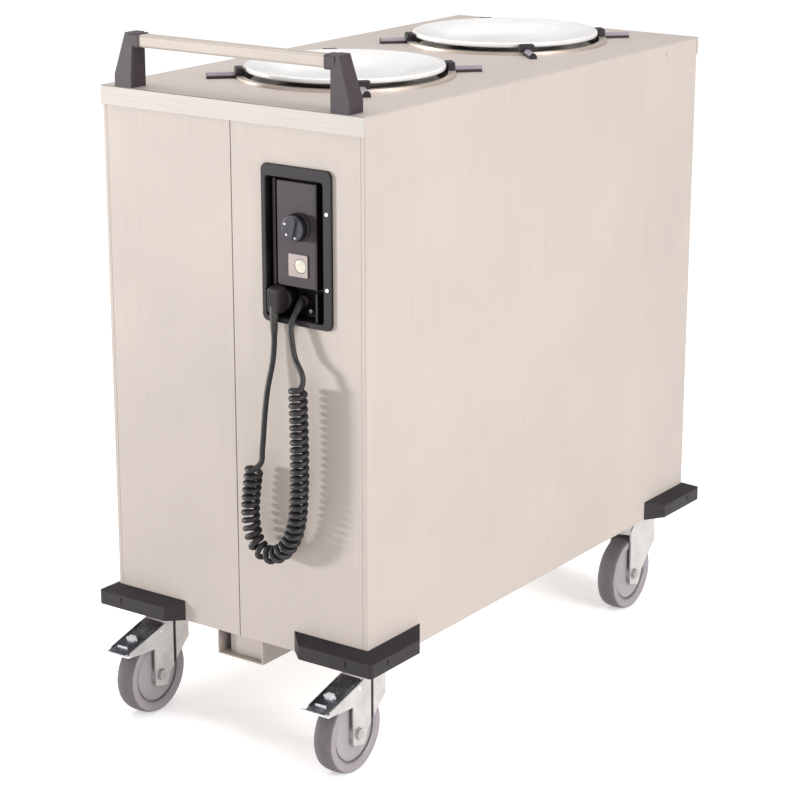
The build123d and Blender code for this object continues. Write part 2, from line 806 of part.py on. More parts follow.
def biarc(start, start_way, end, end_way):
    """Two tangent arcs between two points with given directions."""
    chord = end - start
    both = start_way + end_way
    a = 2 * (1 - start_way.dot(end_way))
    b = chord.dot(both)
    reach = (math.sqrt(b * b + a * chord.dot(chord)) - b) / a
    near = start + start_way * reach
    far = end - end_way * reach
    joint = (near + far) * 0.5
    TangentArc(tuple(start), tuple(joint), tangent=tuple(start_way))
    TangentArc(tuple(joint), tuple(end), tangent=tuple(far - near))


down = Vector(0, 0, -1)
up = Vector(0, 0, 1)
nodes = [(coil_start + down * tail_length, down)]
nodes += [curl_point(0.25 + step / 2) for step in range(2 * curl_turns + 1)]
nodes.append((coil_end - up * tail_length, up))
with BuildPart() as cord_coil:
    with BuildLine() as curls:
        Line(tuple(coil_start), tuple(nodes[0][0]))
        for (a, a_way), (b, b_way) in zip(nodes, nodes[1:]):
            biarc(a, a_way, b, b_way)
        Line(tuple(nodes[-1][0]), tuple(coil_end))
    with BuildSketch(Plane(origin=tuple(coil_start), z_dir=tuple(down))):
        RegularPolygon(cord_radius, curl_sides)
    sweep(path=curls.wire(), clean=False)
cord_coil.part.label = "cord_coil"
export_step(cord_coil.part, "parts/cord_coil.step")

curl_line = curls.wire()
coil_length = curl_line.length
samples = 24 * curl_turns
line_points = [curl_line.position_at(i / samples) for i in range(samples + 1)]
skip = math.ceil(4 * cord_radius / (coil_length / samples))
least = min(
    (line_points[i] - line_points[j]).length
    for i in range(samples + 1)
    for j in range(i + skip, min(samples + 1, i + 60))
)
print("curls", curl_turns, "pitch", round(curl_pitch, 2), "least gap", round(least - 2 * cord_radius, 2))
print("cord length", round(lead_in_length + coil_length + lead_out_length, 1))

# ---------------------------------------------------------------- wells
slot_bottom = base_top + slot_rise
plate_pitch = plate_edge + running_gap
disc_top = worktop_height + plate_rim_height - plate_height - (plate_count - 1) * plate_pitch
spider_top = disc_top - carrier_depth
slot_top = spider_top + slot_clearance
plate_radius = plate_diameter / 2
rim_inner = plate_radius - plate_rim_width
hanger_z = worktop_height - hanger_height
slot_angles = [90.0 + 360.0 * i / slot_count for i in range(slot_count)]


def well_plane(well_y, angle, height=0.0):
    """A plane at a well's centre with its x axis pointing outward at an angle."""
    way = (math.cos(math.radians(angle)), math.sin(math.radians(angle)), 0)
    return Plane(origin=(0, well_y, height), x_dir=way, z_dir=(0, 0, 1))


for end, well_y in wells.items():
    with BuildPart() as well_liner:
        with BuildSketch(Plane.XY.offset(base_top)):
            with Locations((0, well_y)):
                Circle(liner_outer)
                Circle(liner_radius, mode=Mode.SUBTRACT)
        extrude(amount=worktop_height + collar_height - base_top)
        with BuildSketch(Plane.XY.offset(worktop_height)):
            with Locations((0, well_y)):
                Circle(liner_outer + collar_width)
                Circle(liner_radius, mode=Mode.SUBTRACT)
        extrude(amount=collar_height)
        # Slots in the collar, where the plate guides slide.
        for angle in guide_angles:
            with BuildSketch(well_plane(well_y, angle, worktop_height)):
                with Locations(((liner_radius + guide_outer) / 2 - 4, 0)):
                    Rectangle(guide_outer - liner_radius + 8, guide_width + 2 * running_gap)
            extrude(amount=collar_height + 1, mode=Mode.SUBTRACT)
        # Long slots for the carrier's arms, and a hanger above each for its spring.
        for angle in slot_angles:
            with BuildSketch(well_plane(well_y, angle, slot_bottom)):
                with Locations((liner_radius, 0)):
                    Rectangle(slot_reach, slot_width)
            extrude(amount=slot_top - slot_bottom, mode=Mode.SUBTRACT)
            with BuildSketch(well_plane(well_y, angle, hanger_z)):
                with Locations(((liner_outer + spring_place + spring_radius) / 2, 0)):
                    Rectangle(spring_place + spring_radius - liner_outer + hanger_margin, hanger_width)
            extrude(amount=hanger_thickness)
    well_liner.part.label = f"well_liner_{end}"
    export_step(well_liner.part, f"parts/well_liner_{end}.step")

    with BuildPart() as carrier:
        with BuildSketch(Plane.XY.offset(disc_top)):
            with Locations((0, well_y)):
                Circle(carrier_disc_radius)
        extrude(amount=-carrier_disc_thickness)
        with BuildSketch(Plane.XY.offset(disc_top - carrier_disc_thickness)):
            with Locations((0, well_y)):
                Circle(stem_radius)
        extrude(amount=-(carrier_depth - carrier_disc_thickness))
        for angle in slot_angles:
            with BuildSketch(well_plane(well_y, angle, spider_top)):
                with Locations((arm_reach / 2, 0)):
                    Rectangle(arm_reach, slot_width - 2 * running_gap)
            extrude(amount=-arm_thickness)
    carrier.part.label = f"carrier_{end}"
    export_step(carrier.part, f"parts/carrier_{end}.step")

    with BuildPart() as lift_springs:
        for angle in slot_angles:
            with BuildSketch(well_plane(well_y, angle, spider_top + running_gap)):
                with Locations((spring_place, 0)):
                    Circle(spring_radius)
                    Circle(spring_radius - spring_wall, mode=Mode.SUBTRACT)
            extrude(amount=hanger_z - spider_top - running_gap)
    lift_springs.part.label = f"lift_springs_{end}"
    export_step(lift_springs.part, f"parts/lift_springs_{end}.step")

    # Each plate has a flat middle, a sloping well and a thick rim, and rests on the one below.
    with BuildPart() as plate_stack:
        for level in range(plate_count):
            foot = disc_top + level * plate_pitch
            underside = foot + plate_foot_lift
            rim = foot + plate_height
            with BuildSketch(Plane.XZ.offset(-well_y)) as profile:
                Polygon(
                    (0, underside),
                    (plate_foot_radius - plate_foot_width, underside),
                    (plate_foot_radius - plate_foot_width, foot),
                    (plate_foot_radius, foot),
                    (rim_inner, rim - plate_thickness - plate_rim_rise),
                    (plate_radius - plate_lip, rim - plate_edge),
                    (plate_radius, rim - plate_edge + plate_lip),
                    (plate_radius, rim - plate_lip),
                    (plate_radius - plate_lip, rim),
                    (rim_inner, rim - plate_rim_rise),
                    (plate_foot_radius + 1, underside + plate_thickness),
                    (0, underside + plate_thickness),
                    align=None,
                )
            revolve(axis=Axis((0, well_y, 0), (0, 0, 1)), clean=False)
    plate_stack.part.label = f"plate_stack_{end}"
    export_step(plate_stack.part, f"parts/plate_stack_{end}.step")

    for number, angle in enumerate(guide_angles, 1):
        with BuildPart() as guide:
            with BuildSketch(well_plane(well_y, angle, worktop_height + running_gap)):
                with Locations(((guide_inner + guide_outer) / 2, 0)):
                    Rectangle(guide_outer - guide_inner, guide_width)
            extrude(amount=guide_height)
            chamfer(guide.faces().sort_by(Axis.Z)[-1].edges(), guide_edge)
            # The clamp stands on the collar and holds the plates' rims.
            with BuildSketch(well_plane(well_y, angle, worktop_height + collar_height + running_gap)):
                with Locations((guide_inner + guide_clamp_depth / 2, 0)):
                    RectangleRounded(guide_clamp_depth, guide_clamp_width, guide_clamp_corner)
            extrude(amount=guide_post_top - collar_height)
            chamfer(guide.faces().sort_by(Axis.Z)[-1].edges(), guide_edge)
        guide.part.label = f"plate_guide_{end}_{number}"
        export_step(guide.part, f"parts/plate_guide_{end}_{number}.step")

with BuildPart() as heating_elements:
    for well_y in wells.values():
        with BuildSketch(Plane.XY.offset(base_top)):
            with Locations((0, well_y)):
                Circle(heater_radius)
                Circle(heater_radius - heater_width, mode=Mode.SUBTRACT)
        extrude(amount=heater_height)
heating_elements.part.label = "heating_elements"
export_step(heating_elements.part, "parts/heating_elements.step")

# ---------------------------------------------------------------- casters
with BuildPart() as caster_mounts:
    for turn_x, turn_y in corners.values():
        x = turn_x * caster_x
        y = turn_y * caster_y
        with BuildSketch(Plane.XY.offset(plate_bottom)):
            with Locations((x, y)):
                RectangleRounded(plate_size_x, plate_size_y, plate_corner)
                Circle(pin_radius + shaft_gap, mode=Mode.SUBTRACT)
        extrude(amount=plate_sheet)
        with BuildSketch(Plane.XY.offset(race_bottom)):
            with Locations((x, y)):
                Circle(race_radius)
                Circle(pin_radius + shaft_gap, mode=Mode.SUBTRACT)
        extrude(amount=race_depth)
caster_mounts.part.label = "caster_mounts"
export_step(caster_mounts.part, "parts/caster_mounts.step")

pedal_pivot_z = crown_top - pedal_pivot_drop


def side_outline(y0, points):
    """Points in front of a kingpin and below the crown's top, in a plane across X."""
    return [(y0 - front, crown_top - drop) for front, drop in points]


def fork(x0, y0, braked):
    """The swivelling fork: two shaped cheeks, a crown, and the kingpin through the plate."""
    brow = wing_outline if braked else brow_outline
    outline = [(-crown_rear, 0), (crown_front, 0)] + brow + leg_outline
    inner = fork_outer - fork_sheet
    with BuildPart() as body:
        for x in (x0 - fork_outer, x0 + inner):
            with BuildSketch(Plane.YZ.offset(x)) as cheek:
                Polygon(*side_outline(y0, outline), align=None)
                fillet(cheek.vertices().sort_by(Axis.Y)[:2], leg_corner)
                with Locations((y0 - caster_trail, axle_z)):
                    Circle(axle_radius + shaft_gap, mode=Mode.SUBTRACT)
                if braked:
                    with Locations((y0 - pedal_pivot_front, pedal_pivot_z)):
                        Circle(pedal_pin_radius + shaft_gap, mode=Mode.SUBTRACT)
            extrude(amount=fork_sheet)
        box_between(
            (x0 - inner, y0 - crown_front, crown_top - crown_sheet), (x0 + inner, y0 + crown_rear, crown_top)
        )
        if braked:
            for x in (x0 - fork_outer, x0 + fork_outer - groove_depth):
                box_between(
                    (x, y0 - groove_front, 0), (x + groove_depth, y0 - groove_rear, crown_top), mode=Mode.SUBTRACT
                )
        with BuildSketch(Plane.XY.offset(crown_top)):
            with Locations((x0, y0)):
                Circle(cup_radius)
        extrude(amount=cup_height)
        with BuildSketch(Plane.XY.offset(swivel_gap_z)):
            with Locations((x0, y0)):
                Circle(pin_radius)
        extrude(amount=plate_top + running_gap - swivel_gap_z)
        with BuildSketch(Plane.XY.offset(plate_top + running_gap)):
            with Locations((x0, y0)):
                Circle(pin_head_radius)
        extrude(amount=pin_head_depth)
    return body.part


def pedal(x0, y0):
    """The brake pedal: a sloping tread between the cheeks, a wide lip, a shoe and its pin."""
    tread_half = fork_outer - fork_sheet - 2 * running_gap
    under = [(front, drop + pedal_sheet) for front, drop in reversed(pedal_top)]
    with BuildPart() as body:
        with BuildSketch(Plane.YZ.offset(x0 - tread_half)):
            Polygon(*side_outline(y0, pedal_top + under), align=None)
            Polygon(*side_outline(y0, pedal_shoe), align=None)
            with Locations((y0 - pedal_pivot_front, pedal_pivot_z)):
                Circle(pedal_boss_radius)
            Polygon(*side_outline(y0, pedal_rib), align=None)
        extrude(amount=2 * tread_half)
        with BuildSketch(Plane.YZ.offset(x0 - pedal_lip_width / 2)):
            Polygon(*side_outline(y0, pedal_lip), align=None)
        extrude(amount=pedal_lip_width)
        with BuildSketch(Plane.YZ.offset(x0 - fork_outer)):
            with Locations((y0 - pedal_pivot_front, pedal_pivot_z)):
                Circle(pedal_pin_radius)
        extrude(amount=2 * fork_outer)
    return body.part


for corner, (turn_x, turn_y) in corners.items():
    x0 = turn_x * caster_x
    y0 = turn_y * caster_y
    wheel_y = y0 - caster_trail
    braked = turn_y < 0

    with BuildPart() as caster_fork:
        add(fork(x0, y0, braked))
    caster_fork.part.label = f"caster_fork_{corner}"
    export_step(caster_fork.part, f"parts/caster_fork_{corner}.step")

    with BuildPart() as axle:
        with BuildSketch(Plane.YZ.offset(x0 - fork_outer)):
            with Locations((wheel_y, axle_z)):
                Circle(axle_radius)
        extrude(amount=2 * fork_outer)
        for x in (x0 - fork_outer - axle_head_depth, x0 + fork_outer):
            with BuildSketch(Plane.YZ.offset(x)):
                with Locations((wheel_y, axle_z)):
                    RegularPolygon(axle_head_radius, 6)
            extrude(amount=axle_head_depth)
    axle.part.label = f"wheel_axle_{corner}"
    export_step(axle.part, f"parts/wheel_axle_{corner}.step")

    wheel_line = Axis((x0, wheel_y, axle_z), (1, 0, 0))
    half_boss = hub_boss_width / 2
    bore = axle_radius + shaft_gap
    with BuildPart() as hub:
        with BuildSketch(Plane(origin=(x0, wheel_y, axle_z), x_dir=(1, 0, 0), z_dir=(0, -1, 0))):
            Polygon(
                (-half_boss, bore),
                (half_boss, bore),
                (half_boss, hub_boss_radius),
                (hub_disc_half, hub_boss_radius + 1),
                (hub_disc_half, hub_disc_radius),
                (hub_groove_half, hub_disc_radius + 1),
                (hub_groove_half, rim_radius),
                (-hub_groove_half, rim_radius),
                (-hub_groove_half, hub_disc_radius + 1),
                (-hub_disc_half, hub_disc_radius),
                (-hub_disc_half, hub_boss_radius + 1),
                (-half_boss, hub_boss_radius),
                align=None,
            )
        revolve(axis=wheel_line)
    hub.part.label = f"wheel_hub_{corner}"
    export_step(hub.part, f"parts/wheel_hub_{corner}.step")

    half_tread = wheel_width / 2
    with BuildPart() as tyre:
        with BuildSketch(Plane(origin=(x0, wheel_y, axle_z), x_dir=(1, 0, 0), z_dir=(0, -1, 0))):
            Polygon(
                (-rim_half_width, rim_radius),
                (rim_half_width, rim_radius),
                (half_tread - 1, rim_radius + 3),
                (half_tread, rim_radius + 9),
                (half_tread - 4, wheel_radius - 2),
                (half_tread - 9, wheel_radius),
                (9 - half_tread, wheel_radius),
                (4 - half_tread, wheel_radius - 2),
                (-half_tread, rim_radius + 9),
                (1 - half_tread, rim_radius + 3),
                align=None,
            )
        revolve(axis=wheel_line)
    tyre.part.label = f"wheel_tyre_{corner}"
    export_step(tyre.part, f"parts/wheel_tyre_{corner}.step")

    if braked:
        with BuildPart() as brake_pedal:
            add(pedal(x0, y0))
        brake_pedal.part.label = f"brake_pedal_{corner}"
        export_step(brake_pedal.part, f"parts/brake_pedal_{corner}.step")

# ---------------------------------------------------------------- fasteners
with BuildPart() as fasteners:
    for turn_x, turn_y in corners.values():
        with BuildSketch(Plane.XY.offset(plate_bottom)):
            with Locations((turn_x * caster_x, turn_y * caster_y)):
                with GridLocations(bolt_spacing_x, bolt_spacing_y, 2, 2):
                    RegularPolygon(bolt_across / 2, 6)
        extrude(amount=-bolt_head)
    with BuildSketch(Plane.XZ.offset(bezel_face)):
        screw_x = bezel_right - screw_set_back
        with Locations((screw_x, bezel_z + screw_upper_rise), (screw_x, bezel_z - screw_lower_drop)):
            Circle(screw_radius)
    extrude(amount=screw_head)
    with BuildSketch(Plane.YZ.offset(half_width)):
        with Locations((rear_y - rivet_inset, worktop_height - rivet_drop)):
            Circle(rivet_radius)
    extrude(amount=screw_head)
fasteners.part.label = "fasteners"
export_step(fasteners.part, "parts/fasteners.step")
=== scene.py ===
"""Looks of the plate dispenser cart: finishes, fine shapes, curly cord, light and camera.

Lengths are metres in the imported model's frame: +X right, -Y front, +Z up, floor at zero.
"""

from __future__ import annotations

import json
import logging
import math
from dataclasses import dataclass, field
from enum import Enum
from typing import Callable, Iterable, Sequence

import bmesh
import bpy
from mathutils import Matrix, Vector

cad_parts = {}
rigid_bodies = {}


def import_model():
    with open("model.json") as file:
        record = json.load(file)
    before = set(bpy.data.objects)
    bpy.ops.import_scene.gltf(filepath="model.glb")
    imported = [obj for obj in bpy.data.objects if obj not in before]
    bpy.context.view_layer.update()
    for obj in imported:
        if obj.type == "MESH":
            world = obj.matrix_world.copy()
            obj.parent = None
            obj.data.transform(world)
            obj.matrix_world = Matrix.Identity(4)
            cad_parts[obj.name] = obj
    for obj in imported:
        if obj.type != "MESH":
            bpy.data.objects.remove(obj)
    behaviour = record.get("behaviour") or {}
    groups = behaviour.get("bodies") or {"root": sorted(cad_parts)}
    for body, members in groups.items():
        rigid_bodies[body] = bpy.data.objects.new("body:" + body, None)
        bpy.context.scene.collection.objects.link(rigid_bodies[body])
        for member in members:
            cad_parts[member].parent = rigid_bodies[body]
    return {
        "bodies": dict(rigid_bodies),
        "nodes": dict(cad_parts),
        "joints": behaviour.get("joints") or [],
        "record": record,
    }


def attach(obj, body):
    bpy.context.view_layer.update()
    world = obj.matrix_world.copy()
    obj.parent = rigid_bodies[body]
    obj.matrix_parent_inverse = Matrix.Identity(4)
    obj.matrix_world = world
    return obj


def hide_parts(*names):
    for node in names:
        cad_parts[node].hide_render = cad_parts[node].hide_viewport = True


log = logging.getLogger("plate_cart")

Point2 = tuple[float, float]
Point3 = tuple[float, float, float]
Colour = tuple[float, float, float, float]
Socket = bpy.types.NodeSocket
Material = bpy.types.Material
Piece = bpy.types.Object
Face = bpy.types.MeshPolygon


class Slot(Enum):
    """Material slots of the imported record."""

    STAINLESS = "stainless"
    BRIGHT = "bright_steel"
    SPRING = "spring_steel"
    ZINC = "zinc_plate"
    PLASTIC = "black_plastic"
    CORD = "cord_rubber"
    LENS = "button_lens"
    PORCELAIN = "porcelain"
    HUB = "hub_plastic"
    TYRE = "tyre_rubber"


class Grain(Enum):
    """Direction of the brush lines, as how fast the pattern runs along X, Y and Z."""

    ALONG_X = (7.0, 1300.0, 1300.0)
    ALONG_Y = (1300.0, 7.0, 1300.0)
    ALONG_Z = (1300.0, 1300.0, 7.0)


def linear(code: str) -> Colour:
    """Turns a colour code into linear light.

    Args:
        code: Six hexadecimal digits.

    Returns:
        Red, green, blue and alpha.
    """
    parts = [int(code[i : i + 2], 16) / 255 for i in (0, 2, 4)]
    red, green, blue = (p / 12.92 if p <= 0.04045 else ((p + 0.055) / 1.055) ** 2.4 for p in parts)
    return (red, green, blue, 1.0)


# ---------------------------------------------------------------- shader bench
class ShaderBench:
    """Lays out one material's nodes round its Principled shader."""

    def __init__(self, name: str) -> None:
        """Starts an empty material of that name."""
        self.material = bpy.data.materials.new(name)
        self.material.use_nodes = True
        self.tree = self.material.node_tree
        self.surface = next(n for n in self.tree.nodes if n.type == "BSDF_PRINCIPLED")

    def node(self, kind: str, **settings: object) -> bpy.types.Node:
        """Adds a node and sets its properties."""
        made = self.tree.nodes.new(kind)
        for key, value in settings.items():
            setattr(made, key, value)
        return made

    def link(self, source: Socket, target: Socket) -> None:
        """Joins two sockets."""
        self.tree.links.new(source, target)

    def fix(self, **values: object) -> None:
        """Sets plain values on the shader's own sockets; underscores stand for spaces."""
        for name, value in values.items():
            self.surface.inputs[name.replace("_", " ")].default_value = value

    def spot(self, scale: Point3 = (1.0, 1.0, 1.0), turn: Point3 = (0.0, 0.0, 0.0)) -> Socket:
        """Object coordinates, stretched and turned."""
        mapping = self.node("ShaderNodeMapping")
        mapping.inputs["Scale"].default_value = scale
        mapping.inputs["Rotation"].default_value = turn
        self.link(self.node("ShaderNodeTexCoord").outputs["Object"], mapping.inputs["Vector"])
        return mapping.outputs["Vector"]

    def noise(self, scale: float, detail: float = 3.0, spot: Socket | None = None) -> Socket:
        """A noise field between 0 and 1.

        Args:
            scale: Lumps per metre.
            detail: Octaves.
            spot: Coordinates, or None for plain object coordinates.

        Returns:
            The field's socket.
        """
        made = self.node("ShaderNodeTexNoise")
        made.inputs["Scale"].default_value = scale
        made.inputs["Detail"].default_value = detail
        self.link(spot or self.spot(), made.inputs["Vector"])
        return made.outputs["Fac"]

    def cells(self, scale: float, feature: str = "F1") -> Socket:
        """Distances in a field of cells, so many per metre."""
        made = self.node("ShaderNodeTexVoronoi", feature=feature)
        made.inputs["Scale"].default_value = scale
        self.link(self.spot(), made.inputs["Vector"])
        return made.outputs["Distance"]

    def attribute(self, name: str) -> Socket:
        """A number stored on the mesh."""
        return self.node("ShaderNodeAttribute", attribute_name=name).outputs["Fac"]

    def blend(self, first: Socket, second: Socket, share: float) -> Socket:
        """First and second field mixed, the second by its share."""
        made = self.node("ShaderNodeMix", data_type="FLOAT")
        made.inputs["Factor"].default_value = share
        self.link(first, made.inputs["A"])
        self.link(second, made.inputs["B"])
        return made.outputs["Result"]

    def span(self, value: Socket, low: float, high: float, start: float = 0.3, end: float = 0.7) -> Socket:
        """Maps a field from start..end to low..high, and holds it there."""
        made = self.node("ShaderNodeMapRange")
        for name, number in (("From Min", start), ("From Max", end), ("To Min", low), ("To Max", high)):
            made.inputs[name].default_value = number
        self.link(value, made.inputs["Value"])
        return made.outputs["Result"]

    def ramp(self, value: Socket, stops: Sequence[tuple[float, str]]) -> Socket:
        """Turns a field into colours given as (place, code) stops."""
        made = self.node("ShaderNodeValToRGB")
        band = made.color_ramp
        while len(band.elements) < len(stops):
            band.elements.new(1.0)
        for element, (place, code) in zip(band.elements, stops):
            element.position = place
            element.color = linear(code)
        self.link(value, made.inputs["Fac"])
        return made.outputs["Color"]

    def colour(self, socket: Socket) -> None:
        """Leads a colour into the shader."""
        self.link(socket, self.surface.inputs["Base Color"])

    def rough(self, socket: Socket) -> None:
        """Leads a roughness into the shader."""
        self.link(socket, self.surface.inputs["Roughness"])

    def bump(self, height: Socket, depth: float, strength: float = 1.0) -> None:
        """Raises the surface by a field.

        Args:
            height: Field between 0 and 1.
            depth: Height of 1, in metres.
            strength: Share of the effect.
        """
        made = self.node("ShaderNodeBump")
        made.inputs["Distance"].default_value = depth
        made.inputs["Strength"].default_value = strength
        self.link(height, made.inputs["Height"])
        self.link(made.outputs["Normal"], self.surface.inputs["Normal"])


# ---------------------------------------------------------------- finishes
@dataclass(frozen=True)
class BrushedSteel:
    """Stainless sheet with brush lines, faint handling clouds and a satin gloss."""

    name: str
    tone: str
    shade: str
    grain: Grain
    gloss: Point2 = (0.34, 0.5)
    metal: float = 1.0
    depth: float = 0.00002

    def make(self) -> Material:
        """Builds the material."""
        bench = ShaderBench(self.name)
        lines = bench.noise(1.0, 4.0, bench.spot(self.grain.value))
        clouds = bench.noise(4.2, 3.0)
        worn = bench.blend(lines, clouds, 0.45)
        bench.colour(bench.ramp(worn, ((0.35, self.shade), (0.62, self.tone))))
        bench.rough(bench.span(worn, self.gloss[1], self.gloss[0]))
        bench.bump(lines, self.depth, 0.5)
        bench.fix(Metallic=self.metal, Anisotropic=0.25)
        return bench.material


@dataclass(frozen=True)
class ZincPlate:
    """Pressed steel with a bright zinc coat: soft spangle and small colour drifts."""

    name: str
    tones: tuple[str, str, str]
    gloss: Point2 = (0.22, 0.42)
    metal: float = 0.92

    def make(self) -> Material:
        """Builds the material."""
        bench = ShaderBench(self.name)
        drift = bench.noise(38.0, 4.0)
        spangle = bench.cells(420.0)
        field_ = bench.blend(drift, spangle, 0.25)
        low, middle, high = self.tones
        bench.colour(bench.ramp(field_, ((0.25, low), (0.5, middle), (0.75, high))))
        bench.rough(bench.span(field_, self.gloss[0], self.gloss[1]))
        bench.bump(spangle, 0.00003, 0.4)
        bench.fix(Metallic=self.metal)
        return bench.material


@dataclass(frozen=True)
class MouldedPlastic:
    """Moulded plastic with a fine spark-eroded grain."""

    name: str
    tone: str
    shade: str
    gloss: Point2 = (0.38, 0.52)
    grain: float = 1500.0
    depth: float = 0.00006
    shine: float = 0.32

    def make(self) -> Material:
        """Builds the material."""
        bench = ShaderBench(self.name)
        pebbles = bench.cells(self.grain, "SMOOTH_F1")
        clouds = bench.noise(22.0, 4.0)
        mixed = bench.blend(clouds, pebbles, 0.35)
        bench.colour(bench.ramp(mixed, ((0.3, self.shade), (0.6, self.tone))))
        bench.rough(bench.span(mixed, self.gloss[0], self.gloss[1]))
        bench.bump(pebbles, self.depth, 0.6)
        bench.fix(Specular_IOR_Level=self.shine)
        return bench.material


@dataclass(frozen=True)
class CordSheath:
    """Smooth rubber sheath with a light bloom and short scuffs."""

    name: str
    tone: str
    shade: str

    def make(self) -> Material:
        """Builds the material."""
        bench = ShaderBench(self.name)
        bloom = bench.noise(60.0, 4.0)
        fine = bench.noise(1900.0, 2.0)
        bench.colour(bench.ramp(bloom, ((0.35, self.shade), (0.65, self.tone))))
        bench.rough(bench.span(bloom, 0.44, 0.58))
        bench.bump(fine, 0.00004, 0.5)
        bench.fix(Specular_IOR_Level=0.36)
        return bench.material


@dataclass(frozen=True)
class WheelRubber:
    """Soft non-marking tread: darker and duller where it runs on the floor."""

    name: str
    wall: str
    tread: str
    dust: str

    def make(self) -> Material:
        """Builds the material; the mesh holds how far out each point is."""
        bench = ShaderBench(self.name)
        reach = bench.attribute("reach")
        lumps = bench.noise(90.0, 4.0)
        worn = bench.blend(reach, lumps, 0.12)
        bench.colour(bench.ramp(worn, ((0.75, self.wall), (0.83, self.tread), (0.96, self.dust))))
        bench.rough(bench.span(worn, 0.46, 0.72, 0.2, 0.8))
        bench.bump(bench.noise(1100.0, 3.0), 0.00008, 0.6)
        return bench.material


@dataclass(frozen=True)
class GlazedPorcelain:
    """White hotel porcelain under a clear glaze, with soft clouds of body colour."""

    name: str
    glaze: str
    body: str

    def make(self) -> Material:
        """Builds the material."""
        bench = ShaderBench(self.name)
        clouds = bench.noise(14.0, 3.0)
        bench.colour(bench.ramp(clouds, ((0.3, self.body), (0.6, self.glaze))))
        bench.rough(bench.span(clouds, 0.09, 0.2))
        bench.bump(bench.noise(75.0, 2.0), 0.00006, 0.25)
        bench.fix(Coat_Weight=0.6, Coat_Roughness=0.05, IOR=1.52)
        return bench.material


@dataclass(frozen=True)
class LampLens:
    """Cream lamp lens with a ribbed back that shows through a little."""

    name: str
    tone: str
    core: str

    def make(self) -> Material:
        """Builds the material."""
        bench = ShaderBench(self.name)
        cells = bench.cells(640.0)
        bench.colour(bench.ramp(cells, ((0.1, self.tone), (0.75, self.core))))
        bench.rough(bench.span(bench.noise(120.0), 0.12, 0.25))
        bench.bump(cells, 0.00005, 0.3)
        bench.fix(Subsurface_Weight=0.25, Subsurface_Scale=0.004, Coat_Weight=0.5)
        return bench.material


@dataclass(frozen=True)
class StudioPaper:
    """Pale paper that the cart stands on, lit a little from below."""

    name: str
    tone: str
    glow: float = 0.34

    def make(self) -> Material:
        """Builds the material."""
        bench = ShaderBench(self.name)
        clouds = bench.noise(1.3, 3.0)
        bench.colour(bench.ramp(clouds, ((0.2, self.tone), (0.9, "ffffff"))))
        bench.fix(Roughness=0.85, Specular_IOR_Level=0.1)
        bench.fix(Emission_Color=linear("ffffff"), Emission_Strength=self.glow)
        return bench.material


